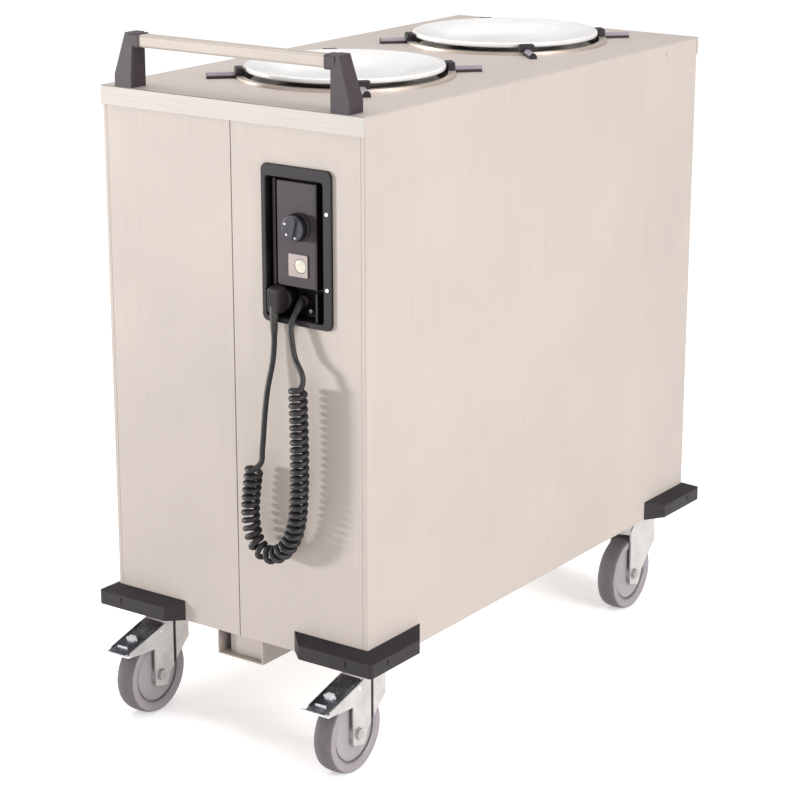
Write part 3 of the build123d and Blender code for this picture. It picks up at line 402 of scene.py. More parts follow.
@dataclass(frozen=True)
class Finishes:
    """Every finish of the cart, made once."""

    panel: Material
    deck: Material
    lip: Material
    bar: Material
    collar: Material
    # painted reflection: a dark tone for the worktop's rounded front bend
    edge: Material
    inner: Material
    zinc: Material
    chrome: Material
    treadle: Material
    bolt: Material
    spring: Material
    plastic: Material
    panel_plastic: Material
    # painted shade: near-black for faces of the recess and knob that lie in shade
    cavity: Material
    grip: Material
    frame: Material
    marks: Material
    # painted highlight: a pale tone for the guide bars' tops and slopes, as lit from above
    worn: Material
    # painted shade: a dark tone for the pressed lines down the front forks' cheeks
    hollow: Material
    cord: Material
    relief: Material
    lens: Material
    porcelain: Material
    hub: Material
    tyre: Material
    paper: Material

    @classmethod
    def make(cls) -> Finishes:
        """Builds all materials of the object and the floor."""
        zinc = ("a4a2a4", "b8b5b3", "c6c2bc")
        return cls(
            panel=BrushedSteel("panel_steel", "aaa099", "a29992", Grain.ALONG_Z, (0.58, 0.68), 0.2).make(),
            deck=BrushedSteel("deck_steel", "b0a6a0", "a79d98", Grain.ALONG_Y, (0.48, 0.6), 0.3).make(),
            # painted light: the lip is toned apart from the deck, though both are one sheet, to match how the
            # front faces are lit
            lip=BrushedSteel("lip_steel", "a8a39c", "a09b95", Grain.ALONG_X, (0.5, 0.6), 0.25).make(),
            bar=BrushedSteel("bar_steel", "a49a92", "9b928a", Grain.ALONG_X, (0.5, 0.6), 0.25).make(),
            collar=BrushedSteel("collar_steel", "c9beb4", "bfb4aa", Grain.ALONG_X, (0.3, 0.42), 0.8).make(),
            # painted reflection: a dark tone for the worktop's rounded front bend
            edge=BrushedSteel("bend_painted_reflection", "6f6864", "645e5a", Grain.ALONG_X, (0.4, 0.5), 0.4).make(),
            inner=BrushedSteel("well_steel", "c9c2bb", "aaa39d", Grain.ALONG_Z, (0.3, 0.5)).make(),
            zinc=ZincPlate("zinc_fork", zinc, (0.3, 0.48), 0.75).make(),
            chrome=ZincPlate("bright_clip", ("d2d2d4", "e4e4e6", "f0f0f0"), (0.2, 0.36), 0.3).make(),
            treadle=ZincPlate("dark_treadle", ("3c3c42", "62636b", "8f959e"), (0.2, 0.36), 0.8).make(),
            bolt=ZincPlate("bolt_steel", ("8b898b", "a19f9f", "b4b1ad"), (0.3, 0.44), 0.6).make(),
            spring=ZincPlate("spring_wire", ("5c5c60", "77777a", "8e8c8c"), (0.25, 0.4)).make(),
            plastic=MouldedPlastic("bumper_plastic", "251f23", "1b171b", (0.46, 0.6), shine=0.27).make(),
            panel_plastic=MouldedPlastic("console_plastic", "372e33", "2f272b", (0.46, 0.58), 2100.0).make(),
            # painted shade: near-black for faces of the recess and knob that lie in shade
            cavity=MouldedPlastic("cavity_plastic", "101011", "0a090a", (0.6, 0.75), 1700, shine=0.15).make(),
            grip=MouldedPlastic("knob_plastic", "35323c", "26232b", (0.36, 0.48), 2600.0, 0.00003).make(),
            frame=MouldedPlastic("switch_frame", "a39896", "958a87", (0.3, 0.42), 2100.0, 0.00003).make(),
            marks=MouldedPlastic("dial_marks", "f3eef0", "d9d3d6", (0.4, 0.5), 2600.0, 0.00001).make(),
            # painted highlight: a pale tone for the guide bars' tops and slopes, as lit from above
            worn=MouldedPlastic("guide_painted_highlight", "8a8188", "786f76", (0.35, 0.5), 1700.0, 0.00003).make(),
            # painted shade: a dark tone for the pressed lines down the front forks' cheeks
            hollow=ZincPlate("pressed_line_painted_shade", ("232326", "2c2c30", "3a3a3e"), (0.4, 0.6)).make(),
            cord=CordSheath("cord_rubber", "262325", "171517").make(),
            relief=CordSheath("relief_rubber", "383630", "26241f").make(),
            lens=LampLens("button_lens", "c8c4b8", "bcb6a6").make(),
            porcelain=GlazedPorcelain("porcelain", "cecdcc", "c7c6c5").make(),
            hub=MouldedPlastic("hub_plastic", "918d8f", "858184", (0.36, 0.5), 1400.0).make(),
            tyre=WheelRubber("tyre_rubber", "867f84", "5f585d", "4f494d").make(),
            paper=StudioPaper("studio_paper", "fbfafa").make(),
        )


# ---------------------------------------------------------------- shapes
@dataclass(frozen=True)
class Bench:
    """A working frame: an origin and two directions; the third stands on both."""

    origin: Vector
    across: Vector
    along: Vector

    @property
    def out(self) -> Vector:
        """Direction that stands on the frame's plane."""
        return self.across.cross(self.along).normalized()

    def at(self, u: float, v: float, w: float = 0.0) -> Vector:
        """A point in the frame."""
        return self.origin + self.across * u + self.along * v + self.out * w


def upright(x: float, y: float, z: float) -> Bench:
    """A frame on a front face: across +X, up +Z, out towards the front."""
    return Bench(Vector((x, y, z)), Vector((1, 0, 0)), Vector((0, 0, 1)))


def level(x: float, y: float, z: float, angle: float = 0.0) -> Bench:
    """A level frame whose first direction points at an angle in degrees."""
    c, s = math.cos(math.radians(angle)), math.sin(math.radians(angle))
    return Bench(Vector((x, y, z)), Vector((c, s, 0)), Vector((-s, c, 0)))


FLAT = level(0, 0, 0)


def sideways(x: float, y: float, z: float) -> Bench:
    """A frame on a right side: across +Y, up +Z, out towards +X."""
    return Bench(Vector((x, y, z)), Vector((0, 1, 0)), Vector((0, 0, 1)))


def rounded(
    width: float, height: float, radius: float, middle: Point2 = (0.0, 0.0), steps: int = 5
) -> list[Point2]:
    """A rectangle's outline with round corners, anticlockwise.

    Args:
        width: Full size across.
        height: Full size along.
        radius: Corner radius.
        middle: The rectangle's middle.
        steps: Arc steps of each corner.

    Returns:
        The outline's points.
    """
    made = []
    for quarter, (sx, sy) in enumerate(((1, 1), (-1, 1), (-1, -1), (1, -1))):
        cx = middle[0] + sx * (width / 2 - radius)
        cy = middle[1] + sy * (height / 2 - radius)
        for step in range(steps + 1):
            a = math.radians(90 * (quarter + step / steps))
            made.append((cx + radius * math.cos(a), cy + radius * math.sin(a)))
    return made


def ring(radius: float, steps: int = 32, middle: Point2 = (0.0, 0.0)) -> list[Point2]:
    """A circle's outline, anticlockwise."""
    turns = [2 * math.pi * i / steps for i in range(steps)]
    return [(middle[0] + radius * math.cos(a), middle[1] + radius * math.sin(a)) for a in turns]


def disc(radius: float, height: float) -> list[Point2]:
    """The profile of a flat disc that stands on its frame."""
    return [(0.0, 0.0), (radius, 0.0), (radius, height), (0.0, height)]


def mirrored(half: Sequence[Point2]) -> tuple[Point2, ...]:
    """A profile and its mirror image at height 0, in one run."""
    return (*half, *((radius, -height) for radius, height in reversed(half) if height))


def placed(name: str, data: bpy.types.ID) -> Piece:
    """A new object with that data, linked to the scene."""
    made = bpy.data.objects.new(name, data)
    bpy.context.scene.collection.objects.link(made)
    return made


def remove(*objects: Piece) -> None:
    """Deletes helper objects."""
    for o in objects:
        bpy.data.objects.remove(o, do_unlink=True)


def evaluated_mesh(host: Piece) -> bpy.types.Mesh:
    """The mesh of an object after its modifiers, as a plain one."""
    graph = bpy.context.evaluated_depsgraph_get()
    graph.update()
    final = host.evaluated_get(graph)
    return bpy.data.meshes.new_from_object(final, preserve_all_data_layers=True, depsgraph=graph)


class Shaper:
    """Collects the solids of one piece in a mesh that is being edited."""

    def __init__(self) -> None:
        """Starts with nothing."""
        self.mesh = bmesh.new()

    @classmethod
    def from_node(cls, node: Piece) -> Shaper:
        """A merged copy of a CAD node's mesh with its flat faces joined."""
        made = cls()
        made.mesh.from_mesh(node.data)
        bmesh.ops.remove_doubles(made.mesh, verts=made.mesh.verts, dist=2e-5)
        bmesh.ops.dissolve_limit(
            made.mesh, angle_limit=math.radians(0.6), verts=made.mesh.verts, edges=made.mesh.edges
        )
        return made

    def prism(self, outline: Sequence[Point2], bench: Bench, depth: float, start: float = 0.0) -> Shaper:
        """Adds an outline drawn out along its frame.

        Args:
            outline: Points in the frame's plane, anticlockwise.
            bench: The frame.
            depth: How far it is drawn out.
            start: Where it begins.

        Returns:
            This shaper.
        """
        low = [self.mesh.verts.new(bench.at(u, v, start)) for u, v in outline]
        high = [self.mesh.verts.new(bench.at(u, v, start + depth)) for u, v in outline]
        self.mesh.faces.new(list(reversed(low)))
        self.mesh.faces.new(high)
        for i in range(len(outline)):
            j = (i + 1) % len(outline)
            self.mesh.faces.new((low[i], low[j], high[j], high[i]))
        return self

    def loft(self, rings: Sequence[Sequence[Vector]], capped: bool = True, closed: bool = False) -> Shaper:
        """Skins rings of equal length one after another.

        Args:
            rings: The rings' points.
            capped: Whether the first and the last ring are filled.
            closed: Whether the last ring meets the first.

        Returns:
            This shaper.
        """
        made = [[self.mesh.verts.new(p) for p in row] for row in rings]
        pairs = list(zip(made, made[1:])) + ([(made[-1], made[0])] if closed else [])
        for a, b in pairs:
            for i in range(len(a)):
                j = (i + 1) % len(a)
                self.mesh.faces.new((a[i], a[j], b[j], b[i]))
        if capped and not closed:
            self.mesh.faces.new(list(reversed(made[0])))
            self.mesh.faces.new(made[-1])
        return self

    def turned(self, profile: Sequence[Point2], bench: Bench, steps: int = 48) -> Shaper:
        """Turns a profile round the frame's third direction.

        Args:
            profile: (radius, height) points; it closes on itself unless it meets the axis.
            bench: The frame, with its origin on the axis.
            steps: Faces round the axis.

        Returns:
            This shaper.
        """
        made: list[list[bmesh.types.BMVert]] = []
        for radius, height in profile:
            if radius < 1e-6:
                made.append([self.mesh.verts.new(bench.at(0, 0, height))])
            else:
                made.append([self.mesh.verts.new(bench.at(u, v, height)) for u, v in ring(radius, steps)])
        pairs = list(zip(made, made[1:]))
        if len(made[0]) > 1 and len(made[-1]) > 1:
            pairs.append((made[-1], made[0]))
        for a, b in pairs:
            for i in range(steps):
                j = (i + 1) % steps
                corners = [a[i % len(a)], a[j % len(a)], b[j % len(b)], b[i % len(b)]]
                face = list(dict.fromkeys(corners))
                if len(face) > 2:
                    self.mesh.faces.new(face)
        return self

    def add(self, other: Shaper) -> Shaper:
        """Takes over another shaper's solids."""
        spare = bpy.data.meshes.new("spare")
        other.mesh.to_mesh(spare)
        self.mesh.from_mesh(spare)
        bpy.data.meshes.remove(spare)
        other.mesh.free()
        return self

    def tidy(self) -> Shaper:
        """Merges doubles and turns every face outwards."""
        bmesh.ops.remove_doubles(self.mesh, verts=self.mesh.verts, dist=1e-6)
        bmesh.ops.recalc_face_normals(self.mesh, faces=self.mesh.faces)
        return self

    def soften(self, width: float, steps: int = 2, limit: float = 32.0) -> Shaper:
        """Rounds the edges where faces meet at more than a limit in degrees."""
        sharp = [e for e in self.mesh.edges if e.is_manifold and e.calc_face_angle(0) > math.radians(limit)]
        bmesh.ops.bevel(
            self.mesh,
            geom=sharp,
            offset=width,
            segments=steps,
            profile=0.6,
            affect="EDGES",
            clamp_overlap=True,
        )
        return self

    def reach(self, bench: Bench, inner: float, outer: float) -> Shaper:
        """Stores how far out from the frame's axis each point is, 0 at inner and 1 at outer."""
        layer = self.mesh.verts.layers.float.new("reach")
        for vert in self.mesh.verts:
            arm = vert.co - bench.origin
            away = (arm - bench.out * arm.dot(bench.out)).length
            vert[layer] = min(1.0, max(0.0, (away - inner) / (outer - inner)))
        return self

    def object(self, name: str, crease: float = 40.0, even: bool = False) -> Piece:
        """Makes the object, smooth but for its creases.

        Args:
            name: The piece's name.
            crease: Edges sharper than this many degrees stay sharp.
            even: Whether flat faces keep their own shading next to rounded edges.

        Returns:
            The object, linked to the scene.
        """
        limit = math.radians(crease)
        for face in self.mesh.faces:
            face.smooth = True
        for edge in self.mesh.edges:
            edge.smooth = not (edge.is_manifold and edge.calc_face_angle(0) > limit)
        data = bpy.data.meshes.new(name)
        self.mesh.to_mesh(data)
        self.mesh.free()
        made = placed(name, data)
        if even:
            weights = made.modifiers.new("weights", "WEIGHTED_NORMAL")
            weights.keep_sharp = True
            made.data = evaluated_mesh(made)
            made.data.name = name
            made.modifiers.clear()
            bpy.data.meshes.remove(data)
        return made


def spun(profile: Sequence[Point2], bench: Bench, steps: int = 48) -> Shaper:
    """A clean solid of a profile turned round its frame's third direction."""
    return Shaper().turned(profile, bench, steps).tidy()


def carve(shape: Shaper, cutters: Shaper, name: str, crease: float = 40.0) -> Piece:
    """Cuts shapes out of another and makes the object from what is left.

    Args:
        shape: The shape that is cut.
        cutters: What is taken away.
        name: The piece's name.
        crease: Edges sharper than this many degrees stay sharp.

    Returns:
        The finished object.
    """
    blank = shape.object(f"{name}_blank")
    cutter = cutters.tidy().object(f"{name}_cutter")
    cut = blank.modifiers.new("cut", "BOOLEAN")
    cut.operation = "DIFFERENCE"
    cut.solver = "EXACT"
    cut.object = cutter
    data = evaluated_mesh(blank)
    left = Shaper()
    left.mesh.from_mesh(data)
    bpy.data.meshes.remove(data)
    remove(blank, cutter)
    return left.object(name, crease, True)


# ---------------------------------------------------------------- geometry recipes
class Recipe:
    """A Geometry Nodes tree with named inputs, ending in Realize Instances and Set Material."""

    def __init__(self, name: str) -> None:
        """Starts the tree with a geometry in and out and a finish."""
        self.name = name
        self.tree = bpy.data.node_groups.new(name, "GeometryNodeTree")
        self.keys: dict[str, str] = {}
        self.tree.interface.new_socket("Geometry", in_out="INPUT", socket_type="NodeSocketGeometry")
        self.tree.interface.new_socket("Geometry", in_out="OUTPUT", socket_type="NodeSocketGeometry")
        self.entry = self.tree.nodes.new("NodeGroupInput")
        self.exit = self.tree.nodes.new("NodeGroupOutput")
        self.size("Finish", "NodeSocketMaterial")

    def size(self, name: str, kind: str = "NodeSocketFloat", value: object = None) -> Socket:
        """Adds a named input and returns its socket inside the tree."""
        socket = self.tree.interface.new_socket(name, in_out="INPUT", socket_type=kind)
        if value is not None:
            socket.default_value = value
        self.keys[name] = socket.identifier
        return self.entry.outputs[name]

    def node(self, kind: str, **links: object) -> bpy.types.Node:
        """Adds a node; sockets and values are given by input name, underscores for spaces.

        Args:
            kind: The node's type.
            **links: Sockets to join or values to set. Lower-case names set properties.

        Returns:
            The node.
        """
        made = self.tree.nodes.new(kind)
        for key, value in links.items():
            if key[0].islower():
                setattr(made, key, value)
        for key, value in links.items():
            if key[0].islower():
                continue
            socket = made.inputs[key.replace("_", " ")]
            if isinstance(value, Socket):
                self.tree.links.new(value, socket)
            else:
                socket.default_value = value
        return made

    def close(self, geometry: Socket) -> None:
        """Realizes the copies, gives them their finish and leads them out."""
        real = self.node("GeometryNodeRealizeInstances", Geometry=geometry)
        finish = self.entry.outputs["Finish"]
        dressed = self.node("GeometryNodeSetMaterial", Geometry=real.outputs["Geometry"], Material=finish)
        self.tree.links.new(dressed.outputs["Geometry"], self.exit.inputs["Geometry"])

    def cook(self, name: str, host: bpy.types.Mesh, **sizes: object) -> Piece:
        """Runs the tree once and keeps its result as a plain mesh.

        Args:
            name: The new piece's name.
            host: The mesh that the tree starts from.
            **sizes: Values for the named inputs, underscores for spaces.

        Returns:
            An object with the result and no modifier.
        """
        made = placed(name, host)
        modifier = made.modifiers.new(self.name, "NODES")
        modifier.node_group = self.tree
        for key, value in sizes.items():
            modifier[self.keys[key.replace("_", " ")]] = value
        made.data = evaluated_mesh(made)
        made.data.name = name
        made.modifiers.clear()
        bpy.data.meshes.remove(host)
        return made


def seeds(name: str, spots: Iterable[tuple[Vector, Vector]]) -> bpy.types.Mesh:
    """Bare points that carry a turn each.

    Args:
        name: The mesh's name.
        spots: (place, turn) pairs, the turn as Euler angles.

    Returns:
        A mesh of points with the turns in an attribute.
    """
    pairs = list(spots)
    data = bpy.data.meshes.new(name)
    data.from_pydata([tuple(p) for p, _ in pairs], [], [])
    turns = data.attributes.new("turn", "FLOAT_VECTOR", "POINT")
    turns.data.foreach_set("vector", [c for _, turn in pairs for c in turn])
    return data


def facing(direction: Vector, spin: float = 0.0) -> Vector:
    """Euler angles that turn +Z to a direction, after a spin about it."""
    turn = direction.to_track_quat("Z", "Y").to_matrix() @ Matrix.Rotation(spin, 3, "Z")
    return Vector(turn.to_euler())


class Recipes:
    """The trees that make what repeats on this cart."""

    def __init__(self) -> None:
        """Builds every tree once."""
        self.scatter = self._scatter()
        self.spring = self._spring()
        self.rings = self._rings()

    @staticmethod
    def _scatter() -> Recipe:
        """Copies of one template on given points, each with its own turn."""
        recipe = Recipe("fastener_scatter")
        template = recipe.size("Template", "NodeSocketObject")
        scale = recipe.size("Scale", "NodeSocketFloat", 1.0)
        source = recipe.node("GeometryNodeObjectInfo", Object=template)
        turn = recipe.node("GeometryNodeInputNamedAttribute", data_type="FLOAT_VECTOR", Name="turn")
        euler = recipe.node("FunctionNodeEulerToRotation", Euler=turn.outputs["Attribute"])
        copies = recipe.node(
            "GeometryNodeInstanceOnPoints",
            Points=recipe.entry.outputs["Geometry"],
            Instance=source.outputs["Geometry"],
            Rotation=euler.outputs["Rotation"],
            Scale=scale,
        )
        recipe.close(copies.outputs["Instances"])
        return recipe

    @staticmethod
    def _spring() -> Recipe:
        """Close-wound springs that stand on the host's points."""
        recipe = Recipe("lift_spring")
        radius = recipe.size("Radius", "NodeSocketFloat", 0.007)
        wire = recipe.size("Wire", "NodeSocketFloat", 0.001)
        height = recipe.size("Height", "NodeSocketFloat", 0.17)
        turns = recipe.size("Turns", "NodeSocketFloat", 40.0)
        spiral = recipe.node(
            "GeometryNodeCurveSpiral",
            Resolution=14,
            Rotations=turns,
            Start_Radius=radius,
            End_Radius=radius,
            Height=height,
        )
        section = recipe.node("GeometryNodeCurvePrimitiveCircle", Resolution=6, Radius=wire)
        body = recipe.node(
            "GeometryNodeCurveToMesh",
            Curve=spiral.outputs["Curve"],
            Profile_Curve=section.outputs["Curve"],
            Fill_Caps=True,
        )
        copies = recipe.node(
            "GeometryNodeInstanceOnPoints",
            Points=recipe.entry.outputs["Geometry"],
            Instance=body.outputs["Mesh"],
        )
        recipe.close(copies.outputs["Instances"])
        return recipe

    @staticmethod
    def _rings() -> Recipe:
        """Round beads threaded on an axis, their radius falling along it."""
        recipe = Recipe("relief_beads")
        count = recipe.size("Count", "NodeSocketInt", 6)
        pitch = recipe.size("Pitch", "NodeSocketFloat", 0.004)
        radius = recipe.size("Radius", "NodeSocketFloat", 0.005)
        bead = recipe.size("Bead", "NodeSocketFloat", 0.001)
        taper = recipe.size("Taper", "NodeSocketFloat", 0.02)
        step = recipe.node("ShaderNodeCombineXYZ", Z=pitch)
        line = recipe.node("GeometryNodeMeshLine", mode="OFFSET", Count=count, Offset=step.outputs["Vector"])
        circle = recipe.node("GeometryNodeCurvePrimitiveCircle", Resolution=32, Radius=radius)
        section = recipe.node("GeometryNodeCurvePrimitiveCircle", Resolution=8, Radius=bead)
        body = recipe.node(
            "GeometryNodeCurveToMesh", Curve=circle.outputs["Curve"], Profile_Curve=section.outputs["Curve"]
        )
        index = recipe.node("GeometryNodeInputIndex")
        drop = recipe.node("ShaderNodeMath", operation="MULTIPLY")
        recipe.tree.links.new(index.outputs["Index"], drop.inputs[0])
        recipe.tree.links.new(taper, drop.inputs[1])
        size = recipe.node("ShaderNodeMath", operation="SUBTRACT")
        size.inputs[0].default_value = 1.0
        recipe.tree.links.new(drop.outputs["Value"], size.inputs[1])
        copies = recipe.node(
            "GeometryNodeInstanceOnPoints",
            Points=line.outputs["Mesh"],
            Instance=body.outputs["Mesh"],
            Scale=size.outputs["Value"],
        )
        recipe.close(copies.outputs["Instances"])
        return recipe


# ---------------------------------------------------------------- workshop
class Workshop:
    """Hands each class the frame, the finishes and the recipes, and fits its pieces."""

    def __init__(self) -> None:
        """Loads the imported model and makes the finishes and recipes."""
        self.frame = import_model()
        self.finishes = Finishes.make()
        self.recipes = Recipes()

    def fit(
        self,
        piece: Piece,
        body: str,
        finish: Material | None = None,
        stands_for: Sequence[str] = (),
    ) -> Piece:
        """Dresses a new piece and lets it ride on its body.

        Args:
            piece: The finished object, in place.
            body: The CAD body that carries it.
            finish: Its material, or None if it has its own.
            stands_for: CAD nodes that it replaces.

        Returns:
            The piece.
        """
        if finish is not None:
            piece.data.materials.clear()
            piece.data.materials.append(finish)
        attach(piece, body)
        if stands_for:
            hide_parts(*stands_for)
        log.info("%s rides on %s", piece.name, body)
        return piece

    @staticmethod
    def shade(piece: Piece, finish: Material, chosen: Callable[[Face], bool]) -> None:
        """Gives the chosen faces of a piece a second finish."""
        piece.data.materials.append(finish)
        for polygon in piece.data.polygons:
            if chosen(polygon):
                polygon.material_index = len(piece.data.materials) - 1

    def dress(self, finish: Material, *nodes: str) -> None:
        """Gives CAD nodes that keep their shape their material."""
        for name in nodes:
            data = self.frame["nodes"][name].data
            data.materials.clear()
            data.materials.append(finish)
            log.info("%s dressed in %s", name, finish.name)

    def softened(
        self, node: str, body: str, finish: Material, width: float = 0.0008, steps: int = 2
    ) -> Piece:
        """A copy of a CAD node with rounded edges that stands for it.

        Args:
            node: The CAD node.
            body: The body that it rides on.
            finish: Its material.
            width: How far the rounding reaches from each edge.
            steps: Faces across the rounding.

        Returns:
            The new piece.
        """
        shape = Shaper.from_node(self.frame["nodes"][node]).soften(width, steps)
        piece = shape.object(f"{node}_skin", even=True)
        return self.fit(piece, body, finish, (node,))


# ---------------------------------------------------------------- cord
@dataclass
class CurlyCord:
    """The mains cord: down from the gland, along a hanging curly stretch and up to the plug."""

    radius: float = 0.0042
    curl_radius: float = 0.0097
    turns: float = 37.5
    steps: int = 12
    length: float = 2.635
    plane_y: float = -0.485
    spread_in_bends: float = 0.9
    lead_in: tuple[Point3, ...] = (
        (0.1136, -0.46, 0.6805), (0.1136, -0.47414, 0.66636), (0.1175, -0.476, 0.648),
        (0.124, -0.4785, 0.622), (0.133, -0.481, 0.611), (0.1425, -0.4845, 0.602),
        (0.144, -0.485, 0.59),
    )
    coil_axis: tuple[Point2, ...] = (
        (0.1345, 0.581), (0.1365, 0.505), (0.136, 0.43), (0.13, 0.372),
        (0.11, 0.334), (0.08, 0.319), (0.056, 0.331), (0.046, 0.362),
        (0.046, 0.402), (0.0545, 0.45),
    )
    lead_out: tuple[Point3, ...] = (
        (0.069, -0.485, 0.459), (0.069, -0.485, 0.475), (0.0705, -0.484, 0.492),
        (0.072, -0.4815, 0.53), (0.075, -0.478, 0.57), (0.083, -0.4707, 0.6175),
        (0.083, -0.4707, 0.6475),
    )

    def spline(self, name: str, points: Sequence[Point3], resolution: int) -> Piece:
        """A smooth curve object led by control points."""
        data = bpy.data.curves.new(name, "CURVE")
        data.dimensions = "3D"
        data.resolution_u = resolution
        data.render_resolution_u = resolution
        line = data.splines.new("NURBS")
        line.points.add(len(points) - 1)
        for point, place in zip(line.points, points):
            point.co = (*place, 1.0)
        line.order_u = 3
        line.use_endpoint_u = True
        return placed(name, data)

    def curls(self) -> list[Point3]:
        """Control points of the curls, wound round the coil's own smooth axis."""
        guide = self.spline("coil_guide", [(x, self.plane_y, z) for x, z in self.coil_axis], 24)
        read = evaluated_mesh(guide)
        line = [v.co.copy() for v in read.vertices]
        bpy.data.meshes.remove(read)
        remove(guide)
        steps = [b - a for a, b in zip(line, line[1:])]
        bends = [a.angle(b) / a.length for a, b in zip(steps, steps[1:])]
        bends = [bends[0], *bends]
        wound = [0.0]
        for step, bend in zip(steps, bends):
            wound.append(wound[-1] + step.length / (1 + self.spread_in_bends * self.curl_radius * bend))
        grown = self.curl_radius / (0.5 + 0.5 * math.cos(math.pi / self.steps) ** 2)
        made = []
        toward_front = Vector((0, -1, 0))
        first = round(self.steps * 0.1)
        last = round(self.steps * (self.turns - 0.15))
        for count in range(first, last + 1):
            turn = count / self.steps
            along = wound[-1] * turn / self.turns
            i = max(k for k in range(len(line) - 1) if wound[k] <= along)
            share = (along - wound[i]) / (wound[i + 1] - wound[i])
            middle = line[i].lerp(line[i + 1], share)
            ahead = steps[min(i + 1, len(steps) - 1)]
            behind = steps[max(i - 1, 0)]
            forward = behind.normalized().lerp(ahead.normalized(), 0.5).normalized()
            outward = Vector((-forward.z, 0, forward.x))
            angle = 2 * math.pi * turn
            made.append(tuple(middle + (outward * math.cos(angle) + toward_front * math.sin(angle)) * grown))
        return made

    def build(self, shop: Workshop, plug: Piece) -> Piece:
        """Args:
            shop: The workshop.
            plug: The plug on its far end; not used.

        Returns:
            The cord's curve.
        """
        points = [*self.lead_in, *self.curls(), *self.lead_out]
        cord = self.spline("curly_cord", points, 4)
        cord.data.bevel_depth = self.radius
        cord.data.bevel_resolution = 3
        cord.data.use_fill_caps = True
        nodes = ("cord_lead_in", "cord_coil", "cord_lead_out")
        shop.fit(cord, "cabinet", shop.finishes.cord, nodes)
        return cord


